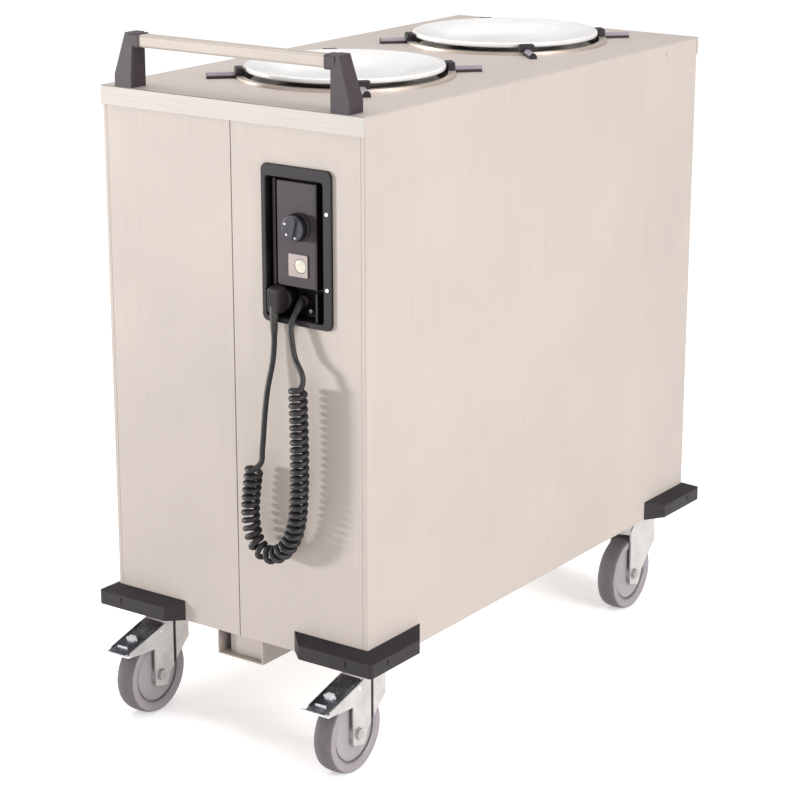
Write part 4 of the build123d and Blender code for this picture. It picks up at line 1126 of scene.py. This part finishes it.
# ---------------------------------------------------------------- control recess
@dataclass
class ControlRecess:
    """The moulded recess: housing, console, knob, lit button, parking socket, plug and gland."""

    bezel_y: float = -0.464
    floor_y: float = -0.448
    bay_floor_y: float = -0.436
    console_y: float = -0.459
    knob_x: float = 0.119
    knob_z: float = 0.8035
    knob_face: float = 0.0145
    knob_turn: float = -13.0
    button_x: float = 0.123
    button_z: float = 0.7485
    button_radius: float = 0.01
    frame_x: float = 0.1185
    frame_half: Point2 = (0.0167, 0.0162)
    plug_x: float = 0.083
    plug_z: float = 0.6955
    disc_radius: float = 0.0172
    relief_y: float = -0.4707
    gland: Point3 = (0.1136, -0.436, 0.6945)
    gland_tip: Point3 = (0.1136, -0.46, 0.6805)
    bezel_screws: tuple[Point2, ...] = ((0.1715, 0.828), (0.1715, 0.7215))
    bay_screw: Point2 = (0.1217, 0.679)
    dots: tuple[float, ...] = (157.0, 224.0, 290.0)

    def build(self, shop: Workshop) -> Piece:
        """Builds and dresses the whole recess.

        Args:
            shop: The workshop.

        Returns:
            The plug, which is handed to the cord.
        """
        self.housing(shop)
        self.console(shop)
        self.knob(shop)
        self.button(shop)
        self.gland_nut(shop)
        return self.plug(shop)

    def housing(self, shop: Workshop) -> None:
        """Softened housing with painted shade on its right-facing and inner faces, and two ribs in its side
        grooves.
        """
        finishes = shop.finishes
        piece = shop.softened("control_housing", "cabinet", finishes.plastic, 0.0009, 3)
        # painted shade: near-black on the faces that face +X and on those inside the opening
        shop.shade(piece, finishes.cavity, lambda face: face.normal.x > 0.8 or self.in_shaded_opening(face.center))
        left = Shaper().prism(rounded(0.0045, 0.152, 0.0014), upright(0.0755, self.floor_y, 0.7915), 0.0095)
        rib = left.soften(0.0006, 2).object("recess_rib", even=True)
        shop.fit(rib, "cabinet", finishes.plastic)
        fin = Shaper().prism(rounded(0.0028, 0.15, 0.0012), upright(0.1503, self.floor_y, 0.7915), 0.0125)
        fin.prism(rounded(0.0028, 0.0415, 0.0012), upright(0.1503, self.bay_floor_y, 0.6925), 0.0245)
        fin_piece = fin.soften(0.0005, 2).object("recess_fin", even=True)
        shop.fit(fin_piece, "cabinet", finishes.plastic)
        # painted shade: near-black on the fin's right-facing side
        shop.shade(fin_piece, finishes.cavity, lambda face: face.normal.x > 0.6)
        # painted shade: the parking socket in the deep bay is dressed near-black
        shop.dress(finishes.cavity, "plug_dock")

    def in_shaded_opening(self, middle: Vector) -> bool:
        """Whether a point of the housing lies in its opening, whose faces get painted shade."""
        return middle.y > self.bezel_y + 0.0012 and 0.0645 < middle.x < 0.165 and 0.67 < middle.z < 0.871

    def console(self, shop: Workshop) -> None:
        """Softened console; its raised square round the button is a lighter frame."""
        finishes = shop.finishes
        piece = shop.softened("control_console", "cabinet", finishes.panel_plastic, 0.0005, 2)
        wide, high = self.frame_half
        raised = [
            v.co.y < self.console_y - 0.0003
            and abs(v.co.x - self.frame_x) < wide
            and abs(v.co.z - self.button_z) < high
            for v in piece.data.vertices
        ]
        shop.shade(piece, finishes.frame, lambda face: all(raised[i] for i in face.vertices))

    def knob(self, shop: Workshop) -> None:
        """A tall drum on a skirt, with a finger bar and three dots on its face."""
        axis = upright(self.knob_x, self.console_y - 0.0003, self.knob_z)
        profile = [
            (0.0, 0.0),
            (0.0199, 0.0),
            (0.0205, 0.0006),
            (0.0205, 0.0022),
            (0.0201, 0.0028),
            (0.0195, 0.0032),
            (0.0191, 0.0122),
            (0.0186, 0.0136),
            (0.0176, 0.0144),
            (0.0166, self.knob_face),
            (0.0, self.knob_face),
        ]
        shape = spun(profile, axis, 72)
        a = math.radians(self.knob_turn)
        turned = Bench(
            axis.origin,
            axis.across * math.cos(a) + axis.along * math.sin(a),
            axis.along * math.cos(a) - axis.across * math.sin(a),
        )
        bar_outline = rounded(0.0088, 0.0305, 0.004, steps=6)
        bar = Shaper().prism(bar_outline, turned, 0.0035, 0.0135).soften(0.0012, 3)
        shank = Shaper().prism(ring(0.003, 20), axis, 0.009, -0.008)
        shape.add(bar).add(shank)
        grip = shape.object("thermostat_grip", 48.0, True)
        shop.fit(grip, "knob", shop.finishes.grip, ("thermostat_knob",))
        # painted shade: near-black on the drum's side
        shop.shade(grip, shop.finishes.cavity, lambda face: self.knob_shaded_side(face.center, face.normal))
        spots = [
            (axis.at(0.0137 * math.cos(t), 0.0137 * math.sin(t), self.knob_face), facing(axis.out))
            for t in map(math.radians, self.dots)
        ]
        dot = spun([(0.0, 0.0), (0.0016, 0.0), (0.0015, 0.0002), (0.0, 0.0003)], FLAT, 16)
        template = dot.object("dot_template")
        marks = shop.recipes.scatter.cook(
            "dial_marks", seeds("dial_seeds", spots), Template=template, Finish=shop.finishes.marks
        )
        remove(template)
        shop.fit(marks, "knob")

    def knob_shaded_side(self, middle: Vector, normal: Vector) -> bool:
        """Whether a face belongs to the drum's side, which gets painted shade."""
        return abs(normal.y) < 0.5 and math.hypot(middle.x - self.knob_x, middle.z - self.knob_z) > 0.018

    def button(self, shop: Workshop) -> None:
        """A domed lens."""
        face = self.console_y - 0.0025
        axis = upright(self.button_x, face + 0.009, self.button_z)
        r = self.button_radius
        lens = [(0.0, 0.0), (r, 0.0), (r, 0.0069), (r - 0.0005, 0.0079), (r - 0.0016, 0.0087), (0.0, 0.009)]
        piece = spun(lens, axis, 56).object("lens_button", 50.0, True)
        shop.fit(piece, "button", shop.finishes.lens, ("power_button",))

    def plug(self, shop: Workshop) -> Piece:
        """The plug: contact disc, tapered grip with finger ridges and a beaded relief."""
        finishes = shop.finishes
        back = self.bay_floor_y - 0.0118
        axis = upright(self.plug_x, back, self.plug_z)
        r = self.disc_radius
        disc = [(0.0, 0.0), (r - 0.0012, 0.0), (r, 0.0012), (r, 0.0062), (r - 0.0016, 0.0079), (0.0, 0.0081)]
        shape = spun(disc, axis, 56)
        grip_z = 0.0005
        rows = []
        for depth, width, height, radius in (
            (0.0075, 0.0216, 0.0386, 0.005),
            (0.012, 0.0216, 0.0388, 0.005),
            (0.021, 0.0206, 0.0378, 0.005),
            (0.0255, 0.0192, 0.0362, 0.0055),
            (0.0272, 0.0158, 0.033, 0.0055),
        ):
            rows.append([axis.at(u, v + grip_z, depth) for u, v in rounded(width, height, radius, steps=6)])
        grip = Shaper().loft(rows).tidy()
        neck = level(self.plug_x, self.relief_y, self.plug_z - 0.023)
        for step in range(4):
            seat = upright(self.plug_x + 0.0066 - 0.0044 * step, back - 0.0262, self.plug_z)
            grip.add(Shaper().prism(rounded(0.0012, 0.024, 0.0005), seat, 0.0013).soften(0.0003, 1))
        turned = [
            (0.0, 0.016),
            (0.0058, 0.016),
            (0.006, 0.0145),
            (0.006, 0.0),
            (0.0056, -0.0035),
            (0.0045, -0.0249),
            (0.0, -0.025),
        ]
        relief = spun(turned, neck, 40)
        pin_profile = [(0.0, 0.0), (0.0019, 0.0), (0.0024, 0.0008), (0.0024, 0.0082), (0.0, 0.0082)]
        for side in (-1, 1):
            pin = upright(self.plug_x + side * 0.0095, back + 0.008, self.plug_z)
            shape.add(spun(pin_profile, pin, 20))
        shape.add(grip)
        body = shape.object("mains_plug", 42.0, True)
        shop.fit(body, "cabinet", finishes.plastic, ("plug",))
        shop.fit(relief.object("plug_relief", 42.0), "cabinet", finishes.relief)
        beads = shop.recipes.rings.cook(
            "plug_relief_beads",
            bpy.data.meshes.new("bead_host"),
            Count=6,
            Pitch=-0.0036,
            Radius=0.0054,
            Bead=0.0007,
            Taper=0.035,
            Finish=finishes.relief,
        )
        beads.data.transform(Matrix.Translation((self.plug_x, self.relief_y, self.plug_z - 0.0265)))
        beads.data.update()
        shop.fit(beads, "cabinet")
        return body

    def gland_nut(self, shop: Workshop) -> None:
        """The cord gland: a hexagon, a domed nut and a tapered sleeve on the slanted cord."""
        finishes = shop.finishes
        x, y, z = self.gland
        seat = upright(x, y, z)
        shape = Shaper().prism(ring(0.0092, 6), seat, 0.0045).soften(0.0005, 2)
        dome = [(0.0, 0.004), (0.0082, 0.004), (0.0084, 0.0052)]
        dome += [(0.0078, 0.0074), (0.006, 0.0088), (0.0, 0.009)]
        shape.add(spun(dome, seat, 40))
        shop.fit(shape.object("gland_nut", 40.0, True), "cabinet", finishes.panel_plastic)
        tip = Vector(self.gland_tip)
        way = Vector((0, -1, -1)).normalized()
        across = Vector((1, 0, 0))
        slant = Bench(tip - way * 0.02, across, way.cross(across))
        profile = [(0.0, 0.0), (0.006, 0.0), (0.0058, 0.006), (0.005, 0.0195)]
        profile += [(0.0046, 0.0205), (0.0, 0.0206)]
        sleeve = spun(profile, slant, 36).object("gland_sleeve", 42.0)
        shop.fit(sleeve, "cabinet", finishes.cord, ("cord_gland",))
        screw = upright(self.bay_screw[0], self.bay_floor_y, self.bay_screw[1])
        head = spun([(0.0, 0.0), (0.0032, 0.0), (0.0032, 0.0008), (0.0022, 0.002), (0.0, 0.0023)], screw, 28)
        shop.fit(head.object("bay_screw", 50.0), "cabinet", finishes.chrome)


# ---------------------------------------------------------------- cabinet
@dataclass
class Cabinet:
    """Sheet steel box: worktop, panels, base, bumpers and what holds them."""

    half_width: float = 0.235
    half_length: float = 0.46
    bumper_out: float = 0.0223
    slot_depth: float = 0.001
    slot_z: float = 0.184
    slot_front_x: float = 0.212
    slot_side_y: float = 0.442
    rivet: Point3 = (0.235, 0.358, 0.95)
    caster_x: float = 0.188
    caster_y: float = 0.398
    bolt_x: float = 0.03
    bolt_y: float = 0.04
    mount_z: float = 0.1665

    def build(self, shop: Workshop) -> None:
        """Builds and dresses the cabinet."""
        finishes = shop.finishes
        top = shop.softened("worktop", "cabinet", finishes.deck, 0.0014, 3)
        # painted light: front and back faces take the lip tone, set apart from the deck to match how they are
        # lit
        shop.shade(top, finishes.lip, lambda face: abs(face.normal.y) > 0.97)
        # painted reflection: the rounded front bend is darker, as it would reflect darker surroundings
        shop.shade(top, finishes.edge, lambda face: 0.1 < abs(face.normal.y) < 0.97 and face.normal.z > 0.1)
        sheets = ("side_panel_left", "side_panel_right", "front_panel_left", "front_panel_right")
        for node in (*sheets, "rear_panel"):
            shop.softened(node, "cabinet", finishes.panel, 0.0006, 2)
        for node in ("base_channel", "channel_end_plates", "caster_mounts"):
            shop.softened(node, "cabinet", finishes.panel, 0.0004, 2)
        shop.dress(finishes.panel, "base_pan")
        self.bumpers(shop)
        self.fasteners(shop)

    def bumpers(self, shop: Workshop) -> None:
        """Corner bumpers with rounded edges and their screw slots."""
        shape = Shaper.from_node(shop.frame["nodes"]["corner_bumpers"])
        cutters = Shaper()
        slot = rounded(0.0032, 0.009, 0.0015)
        floor = self.bumper_out - self.slot_depth
        for sx in (-1, 1):
            for sy in (-1, 1):
                front = upright(sx * self.slot_front_x, sy * (self.half_length + floor), self.slot_z)
                cutters.prism(slot, front, 0.008 * (1 if sy < 0 else -1), 0.0)
                side = sideways(sx * (self.half_width + floor), sy * self.slot_side_y, self.slot_z)
                cutters.prism(slot, side, 0.008 * sx, 0.0)
        piece = carve(shape.soften(0.0018, 3, 30.0), cutters, "corner_bumpers_skin")
        shop.fit(piece, "cabinet", shop.finishes.plastic, ("corner_bumpers",))

    def fasteners(self, shop: Workshop) -> None:
        """Caster bolts, bezel screws and the side rivet, scattered by the recipe."""
        finishes = shop.finishes
        down = Vector((0, 0, -1))
        bolts = [
            (Vector((sx * self.caster_x + bx, sy * self.caster_y + by, self.mount_z)), facing(down))
            for sx in (-1, 1)
            for sy in (-1, 1)
            for bx in (-self.bolt_x, self.bolt_x)
            for by in (-self.bolt_y, self.bolt_y)
        ]
        hexagon = Shaper().prism(ring(0.005, 6), FLAT, 0.0035).soften(0.0004, 2)
        hexagon.add(spun(disc(0.0062, 0.0008), FLAT, 24))
        self.scattered(shop, "caster_bolts", hexagon, bolts, finishes.zinc)
        recess = ControlRecess()
        forward = facing(Vector((0, -1, 0)))
        screws = [(Vector((x, recess.bezel_y, z)), forward) for x, z in recess.bezel_screws]
        self.scattered(shop, "bezel_screws", self.pan_head(), screws, finishes.chrome)
        rivet = spun([(0.0, 0.0), (0.003, 0.0), (0.0029, 0.0005), (0.002, 0.0011), (0.0, 0.0012)], FLAT, 24)
        place = [(Vector(self.rivet), facing(Vector((1, 0, 0))))]
        self.scattered(shop, "side_rivet", rivet, place, finishes.bar)

    @staticmethod
    def pan_head() -> Shaper:
        """A pan head with a cross recess drawn by its four quarters."""
        made = Shaper()
        for quarter in range(4):
            arc = [math.radians(9 + 12 * i) for i in range(7)]
            outline = [(0.0004, 0.0004), *((0.0027 * math.cos(t), 0.0027 * math.sin(t)) for t in arc)]
            made.prism(outline, level(0, 0, 0, 90 * quarter), 0.0006, 0.0006)
        return made.tidy().add(spun(disc(0.0028, 0.0007), FLAT, 28))

    @staticmethod
    def scattered(
        shop: Workshop, name: str, shape: Shaper, spots: list[tuple[Vector, Vector]], finish: Material
    ) -> None:
        """Puts copies of a small shape on given places of the cabinet."""
        template = shape.object(f"{name}_template", 40.0)
        points = seeds(f"{name}_seeds", spots)
        made = shop.recipes.scatter.cook(name, points, Template=template, Finish=finish)
        remove(template)
        shop.fit(made, "cabinet", None, ("fasteners",))


# ---------------------------------------------------------------- push handle
@dataclass
class PushHandle:
    """Flat steel bar held between two moulded brackets."""

    edge: float = 0.0016

    def build(self, shop: Workshop) -> None:
        """Builds and dresses the handle."""
        finishes = shop.finishes
        for side in ("left", "right"):
            node = f"handle_bracket_{side}"
            shop.softened(node, "cabinet", finishes.panel_plastic, self.edge, 3)
        shop.softened("handle_bar", "cabinet", finishes.bar, 0.0006, 2)


# ---------------------------------------------------------------- plate wells
@dataclass
class PlateWell:
    """One heated well: liner, springs, carrier, plates and four guides."""

    end: str
    y: float
    worktop_z: float = 0.968
    disc_top: float = 0.961
    spring_place: float = 0.164
    spring_low: float = 0.7713
    spring_high: float = 0.934
    guide_inner: float = 0.1503
    guide_outer: float = 0.205
    guide_angles: tuple[float, ...] = (45.0, 135.0, 225.0, 315.0)
    plate_profile: tuple[Point2, ...] = field(
        default=(
            (0.0, 0.0015), (0.0765, 0.0015), (0.0778, 0.0004), (0.0795, 0.0),
            (0.0812, 0.0003), (0.083, 0.0014), (0.095, 0.0068), (0.103, 0.0104),
            (0.11, 0.013), (0.125, 0.0146), (0.14, 0.0158), (0.1462, 0.0163),
            (0.1481, 0.0172), (0.149, 0.0188), (0.149, 0.0218), (0.1483, 0.0234),
            (0.147, 0.024), (0.1446, 0.0238), (0.139, 0.0228), (0.125, 0.0202),
            (0.11, 0.0172), (0.102, 0.0136), (0.094, 0.0094), (0.086, 0.0065),
            (0.079, 0.0056), (0.0, 0.0055),
        )
    )

    def build(self, shop: Workshop) -> None:
        """Builds and dresses the well."""
        finishes = shop.finishes
        shop.softened(f"well_liner_{self.end}", "cabinet", finishes.collar, 0.0009, 2)
        shop.dress(finishes.inner, f"carrier_{self.end}")
        self.springs(shop)
        self.plate(shop)
        for number, angle in enumerate(self.guide_angles, 1):
            self.guide(shop, number, angle)

    def springs(self, shop: Workshop) -> None:
        """Three wound springs round the liner, from the carrier's arms to the hangers."""
        arms = [level(0, self.y, self.spring_low, angle) for angle in (90.0, 210.0, 330.0)]
        spots = [(arm.at(self.spring_place, 0, 0), Vector((0, 0, 0))) for arm in arms]
        wound = shop.recipes.spring.cook(
            f"wound_springs_{self.end}",
            seeds("spring_seeds", spots),
            Radius=0.007,
            Wire=0.001,
            Height=self.spring_high - self.spring_low,
            Turns=44.0,
            Finish=shop.finishes.spring,
        )
        shop.fit(wound, "cabinet", None, (f"lift_springs_{self.end}",))

    def plate(self, shop: Workshop) -> None:
        """The top plate with its thick rounded rim."""
        made = spun(self.plate_profile, level(0, self.y, self.disc_top), 128)
        piece = made.object(f"plate_{self.end}", 60.0)
        node = f"plate_stack_{self.end}"
        shop.fit(piece, f"lift_{self.end}", shop.finishes.porcelain, (node,))

    def guide(self, shop: Workshop, number: int, angle: float) -> None:
        """One sliding plate guide: a bar whose slopes and top get a pale painted highlight, and a clamp over
        the ring.
        """
        finishes = shop.finishes
        base = level(0, self.y, self.worktop_z + 0.0003, angle)
        body = f"guide_{self.end}_{number}"
        middle = ((self.guide_inner + self.guide_outer) / 2, 0.0)
        slopes = ((0.0, 0.012), (0.0042, 0.012), (0.008, 0.0066), (0.0085, 0.0056))
        bar = [[base.at(u, v, z) for u, v in rounded(0.0547, wide, 0.001, middle, 3)] for z, wide in slopes]
        shape = Shaper().loft(bar).tidy()
        rows = []
        for height, grow in ((0.004, 0.0), (0.0132, 0.0), (0.0152, -0.0012), (0.016, -0.0034)):
            outline = rounded(0.013 + grow, 0.024 + grow, 0.003 + grow / 3, (0.1568, 0.0), 4)
            rows.append([base.at(u, v, height) for u, v in outline])
        shape.add(Shaper().loft(rows).tidy())
        piece = shape.object(f"guide_block_{self.end}_{number}", 42.0, True)
        shop.fit(piece, body, finishes.plastic, (f"plate_guide_{self.end}_{number}",))
        foot = base.origin
        # painted highlight: the bar's slopes and top are lighter, as lit from above
        shop.shade(piece, finishes.worn, lambda face: self.on_highlit_faces(face.center - foot, face.normal, base))

    @staticmethod
    def on_highlit_faces(off: Vector, normal: Vector, base: Bench) -> bool:
        """Whether a face of a guide belongs to its bar's slopes or top, which get a painted highlight."""
        past_clamp = off.dot(base.across) > 0.1636 and off.dot(base.out) > 0.0044
        return past_clamp and abs(normal.dot(base.across)) < 0.5


# ---------------------------------------------------------------- casters
@dataclass
class Caster:
    """One swivel caster: fork, axle, wheel and, at the front, a foot brake."""

    corner: str
    x: float
    y: float
    braked: bool
    trail: float = 0.049
    axle_z: float = 0.0625
    cheek: float = 0.021
    hub_profile: tuple[Point2, ...] = mirrored(
        [
            *((0.00505, -0.0175), (0.0132, -0.0175), (0.014, -0.0168)),
            *((0.0145, -0.0124), (0.0158, -0.012), (0.042, -0.012)),
            *((0.0429, -0.0114), (0.0434, -0.0084), (0.0462, -0.008)),
        ]
    )
    tyre_profile: tuple[Point2, ...] = mirrored(
        [
            *((0.0461, -0.0131), (0.0482, -0.0152), (0.0508, -0.0162)),
            *((0.0555, -0.0165), (0.0586, -0.0162), (0.0605, -0.0149)),
            *((0.0616, -0.0112), (0.0624, -0.0045), (0.0625, 0.0)),
        ]
    )

    @property
    def axle(self) -> Bench:
        """Frame on the axle's middle, out towards +X."""
        return sideways(self.x, self.y - self.trail, self.axle_z)

    def build(self, shop: Workshop) -> None:
        """Builds and dresses the caster."""
        self.fork(shop)
        self.wheel(shop)
        self.bolt(shop)
        self.race(shop)
        if self.braked:
            self.pedal(shop)

    def fork(self, shop: Workshop) -> None:
        """The pressed fork with rounded edges and, at the front, painted shade along a pressed line down each
        cheek.
        """
        node = f"caster_fork_{self.corner}"
        piece = shop.softened(node, f"caster_{self.corner}", shop.finishes.zinc, 0.0007)
        if not self.braked:
            return
        # painted shade: the pressed lines are dark zinc
        shop.shade(piece, shop.finishes.hollow, lambda face: self.in_shaded_line(face.center))

    def in_shaded_line(self, middle: Vector) -> bool:
        """Whether a point of the fork lies in a cheek's pressed line, which gets painted shade."""
        off = abs(middle.x - self.x) - self.cheek + 0.001
        return abs(self.y - middle.y - 0.01525) < 0.0028 and abs(off) < 0.0003

    def wheel(self, shop: Workshop) -> None:
        """Flat hub disc with a deep groove round it, and a crowned tread."""
        body = f"wheel_{self.corner}"
        hub = spun(self.hub_profile, self.axle, 96).object(f"hub_{self.corner}", 30.0)
        shop.fit(hub, body, shop.finishes.hub, (f"wheel_hub_{self.corner}",))
        tread = spun(self.tyre_profile, self.axle, 112).reach(self.axle, 0.046, self.axle_z)
        tyre = tread.object(f"tyre_{self.corner}", 40.0)
        shop.fit(tyre, body, shop.finishes.tyre, (f"wheel_tyre_{self.corner}",))

    def bolt(self, shop: Workshop) -> None:
        """Axle bolt: rod, washers, hexagon heads with a round end."""
        shape = Shaper().prism(ring(0.005, 28), self.axle, 2 * self.cheek, -self.cheek)
        for side in (-1, 1):
            bench = Bench(self.axle.at(0, 0, side * self.cheek), self.axle.across * side, self.axle.along)
            shape.add(spun(disc(0.0098, 0.0009), bench, 36))
            shape.add(Shaper().prism(ring(0.0082, 6), bench, 0.0034, 0.0008).soften(0.0006, 2))
            shape.add(spun([(0.0, 0.004), (0.0047, 0.004), (0.0042, 0.0048), (0.0, 0.005)], bench, 28))
        piece = shape.object(f"axle_bolt_{self.corner}", 38.0, True)
        node = f"wheel_axle_{self.corner}"
        shop.fit(piece, f"caster_{self.corner}", shop.finishes.bolt, (node,))

    def race(self, shop: Workshop) -> None:
        """The rolled cup over the ball race, on the fork's crown."""
        profile = [
            (0.0205, 0.1577),
            (0.0232, 0.1581),
            (0.0238, 0.1593),
            (0.0238, 0.1611),
            (0.0232, 0.1619),
            (0.0205, 0.1621),
        ]
        cup = spun(profile, level(self.x, self.y, 0.0), 64).object(f"race_cup_{self.corner}", 40.0)
        shop.fit(cup, f"caster_{self.corner}", shop.finishes.zinc)

    def pedal(self, shop: Workshop) -> None:
        """The brake pedal: dark treadle, rolled lip, sprung clip and pivot pin."""
        finishes = shop.finishes
        body = f"pedal_{self.corner}"
        side = Bench(Vector((self.x, self.y, 0)), Vector((0, -1, 0)), Vector((0, 0, 1)))
        half = 0.0174
        top = [(0.038, 0.1435), (0.119, 0.12), (0.126, 0.1183)]
        under = [(u, z - 0.0025) for u, z in reversed(top)]
        tread = Shaper().prism(top[::-1] + under[::-1], side, 2 * half, -half)
        for edge in (-1, 1):
            wall = [(0.05, 0.1402), (0.05, 0.1418), (0.118, 0.1221), (0.118, 0.1206)]
            tread.prism(wall, side, 0.0014, edge * half - (0.0014 if edge > 0 else 0.0))
        boss = [(0.046 + u, 0.132 + v) for u, v in ring(0.0045, 20)]
        tread.prism(boss, side, 2 * half, -half)
        shoe = [(0.06, 0.1355), (0.072, 0.132), (0.072, 0.1274), (0.06, 0.1274)]
        stem = [(0.043, 0.1405), (0.049, 0.139), (0.049, 0.132), (0.043, 0.132)]
        tread.prism(shoe, side, 2 * half, -half).prism(stem, side, 2 * half, -half)
        dark = tread.tidy().soften(0.0004, 2).object(f"treadle_{self.corner}", even=True)
        shop.fit(dark, body, finishes.treadle, (f"brake_pedal_{self.corner}",))
        upper = [(0.1235, 0.1188), (0.126, 0.1182), (0.1295, 0.1188), (0.1316, 0.1201)]
        lower = [(0.1322, 0.1188), (0.13, 0.1168), (0.126, 0.1157), (0.1235, 0.1161)]
        lip = Shaper().prism([*upper, *lower][::-1], side, 0.052, -0.026).tidy().soften(0.0004, 2)
        clip = Shaper()
        slope = math.atan2(0.12 - 0.1435, 0.119 - 0.038)
        along = side.across * math.cos(slope) + side.along * math.sin(slope)
        lift = side.along * math.cos(slope) - side.across * math.sin(slope)
        plane = Bench(side.at(0.09, 0.1284), Vector((1, 0, 0)), along)
        if plane.out.dot(lift) < 0:
            plane = Bench(plane.origin, -plane.across, plane.along)
        clip.prism(rounded(0.013, 0.011, 0.0025), plane, 0.0042, 0.0)
        clip.prism(rounded(0.021, 0.0045, 0.0018), plane, 0.0026, 0.0)
        far = Bench(plane.at(0, 0.0225), plane.across, plane.along)
        clip.prism(rounded(0.019, 0.0032, 0.0012), far, 0.0022, 0.0)
        pin = Shaper().prism(ring(0.0025, 20, (0.046, 0.132)), side, 2 * self.cheek, -self.cheek)
        bright = lip.add(clip.soften(0.0006, 2)).add(pin)
        shop.fit(bright.object(f"pedal_trim_{self.corner}", 38.0, True), body, finishes.chrome)


# ---------------------------------------------------------------- studio
@dataclass
class Studio:
    """Camera, floor and light."""

    eye: Point3 = (2.1007, -3.0176, 1.5234)
    azimuth: float = 35.278
    elevation: float = 16.681
    focal_px: float = 2397.6
    frame_px: float = 800.0

    def build(self, shop: Workshop) -> None:
        """Sets up the view, the paper and the lamps."""
        self.camera()
        self.paper(shop)
        self.sky()
        self.sun("key", (1.95, 1.0, -0.02), 8.0, 4.1)
        self.lamp("fill", (4.75, -0.9, 2.15), (0.1, 0.0, 0.5), 2.4, 225.0)
        self.lamp("top", (-0.4, -0.2, 3.2), (0.0, 0.0, 0.9), 2.2, 58.0)

    def camera(self) -> None:
        """The view of the product picture."""
        data = bpy.data.cameras.new("view")
        data.sensor_width = 36.0
        data.lens = self.focal_px / self.frame_px * data.sensor_width
        data.clip_end = 60.0
        made = placed("view", data)
        a, e = math.radians(self.azimuth), math.radians(self.elevation)
        back = Vector((math.sin(a) * math.cos(e), -math.cos(a) * math.cos(e), math.sin(e)))
        made.rotation_mode = "QUATERNION"
        made.location = self.eye
        made.rotation_quaternion = (-back).to_track_quat("-Z", "Y")
        bpy.context.scene.camera = made

    def paper(self, shop: Workshop) -> None:
        """A wide pale floor."""
        made = Shaper()
        corners = [made.mesh.verts.new((x, y, 0.0)) for x, y in ((-14, -14), (14, -14), (14, 14), (-14, 14))]
        made.mesh.faces.new(corners)
        floor = made.object("studio_floor")
        floor.data.materials.append(shop.finishes.paper)

    def sky(self) -> None:
        """Even white surroundings."""
        world = bpy.data.worlds.new("studio")
        world.use_nodes = True
        backdrop = world.node_tree.nodes["Background"]
        backdrop.inputs["Color"].default_value = (1.0, 0.996, 0.992, 1.0)
        backdrop.inputs["Strength"].default_value = 0.66
        bpy.context.scene.world = world
        bpy.context.scene.view_settings.view_transform = "Standard"

    def sun(self, name: str, way: Point3, spread: float, strength: float) -> None:
        """A wide soft light with the same strength all over.

        Args:
            name: The light's name.
            way: Where its rays go.
            spread: Its apparent size in degrees.
            strength: Watts per square metre.
        """
        data = bpy.data.lights.new(name, "SUN")
        data.angle = math.radians(spread)
        data.energy = strength
        made = placed(name, data)
        made.rotation_mode = "QUATERNION"
        made.rotation_quaternion = Vector(way).to_track_quat("-Z", "Y")

    def lamp(self, name: str, place: Point3, target: Point3, size: float, power: float) -> None:
        """A square soft lamp that the camera doesn't see.

        Args:
            name: The lamp's name.
            place: Where it is.
            target: What it points at.
            size: Side of its square.
            power: Watts.
        """
        data = bpy.data.lights.new(name, "AREA")
        data.size = size
        data.energy = power
        made = placed(name, data)
        made.location = place
        made.rotation_mode = "QUATERNION"
        made.rotation_quaternion = (Vector(target) - Vector(place)).to_track_quat("-Z", "Y")
        made.visible_camera = False


def main() -> None:
    """Builds the cart's looks in order."""
    logging.basicConfig(level=logging.INFO, format="%(name)s: %(message)s")
    shop = Workshop()
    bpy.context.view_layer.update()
    Studio().build(shop)
    plug = ControlRecess().build(shop)
    CurlyCord().build(shop, plug)
    Cabinet().build(shop)
    PushHandle().build(shop)
    for end, y in (("front", -0.188), ("rear", 0.246)):
        PlateWell(end, y).build(shop)
    shop.dress(shop.finishes.spring, "heating_elements")
    for end, sy in (("front", -1), ("rear", 1)):
        for side, sx in (("left", -1), ("right", 1)):
            Caster(f"{end}_{side}", sx * 0.188, sy * 0.398, sy < 0).build(shop)
    log.info("boxes written")


if __name__ == "__main__":
    main()
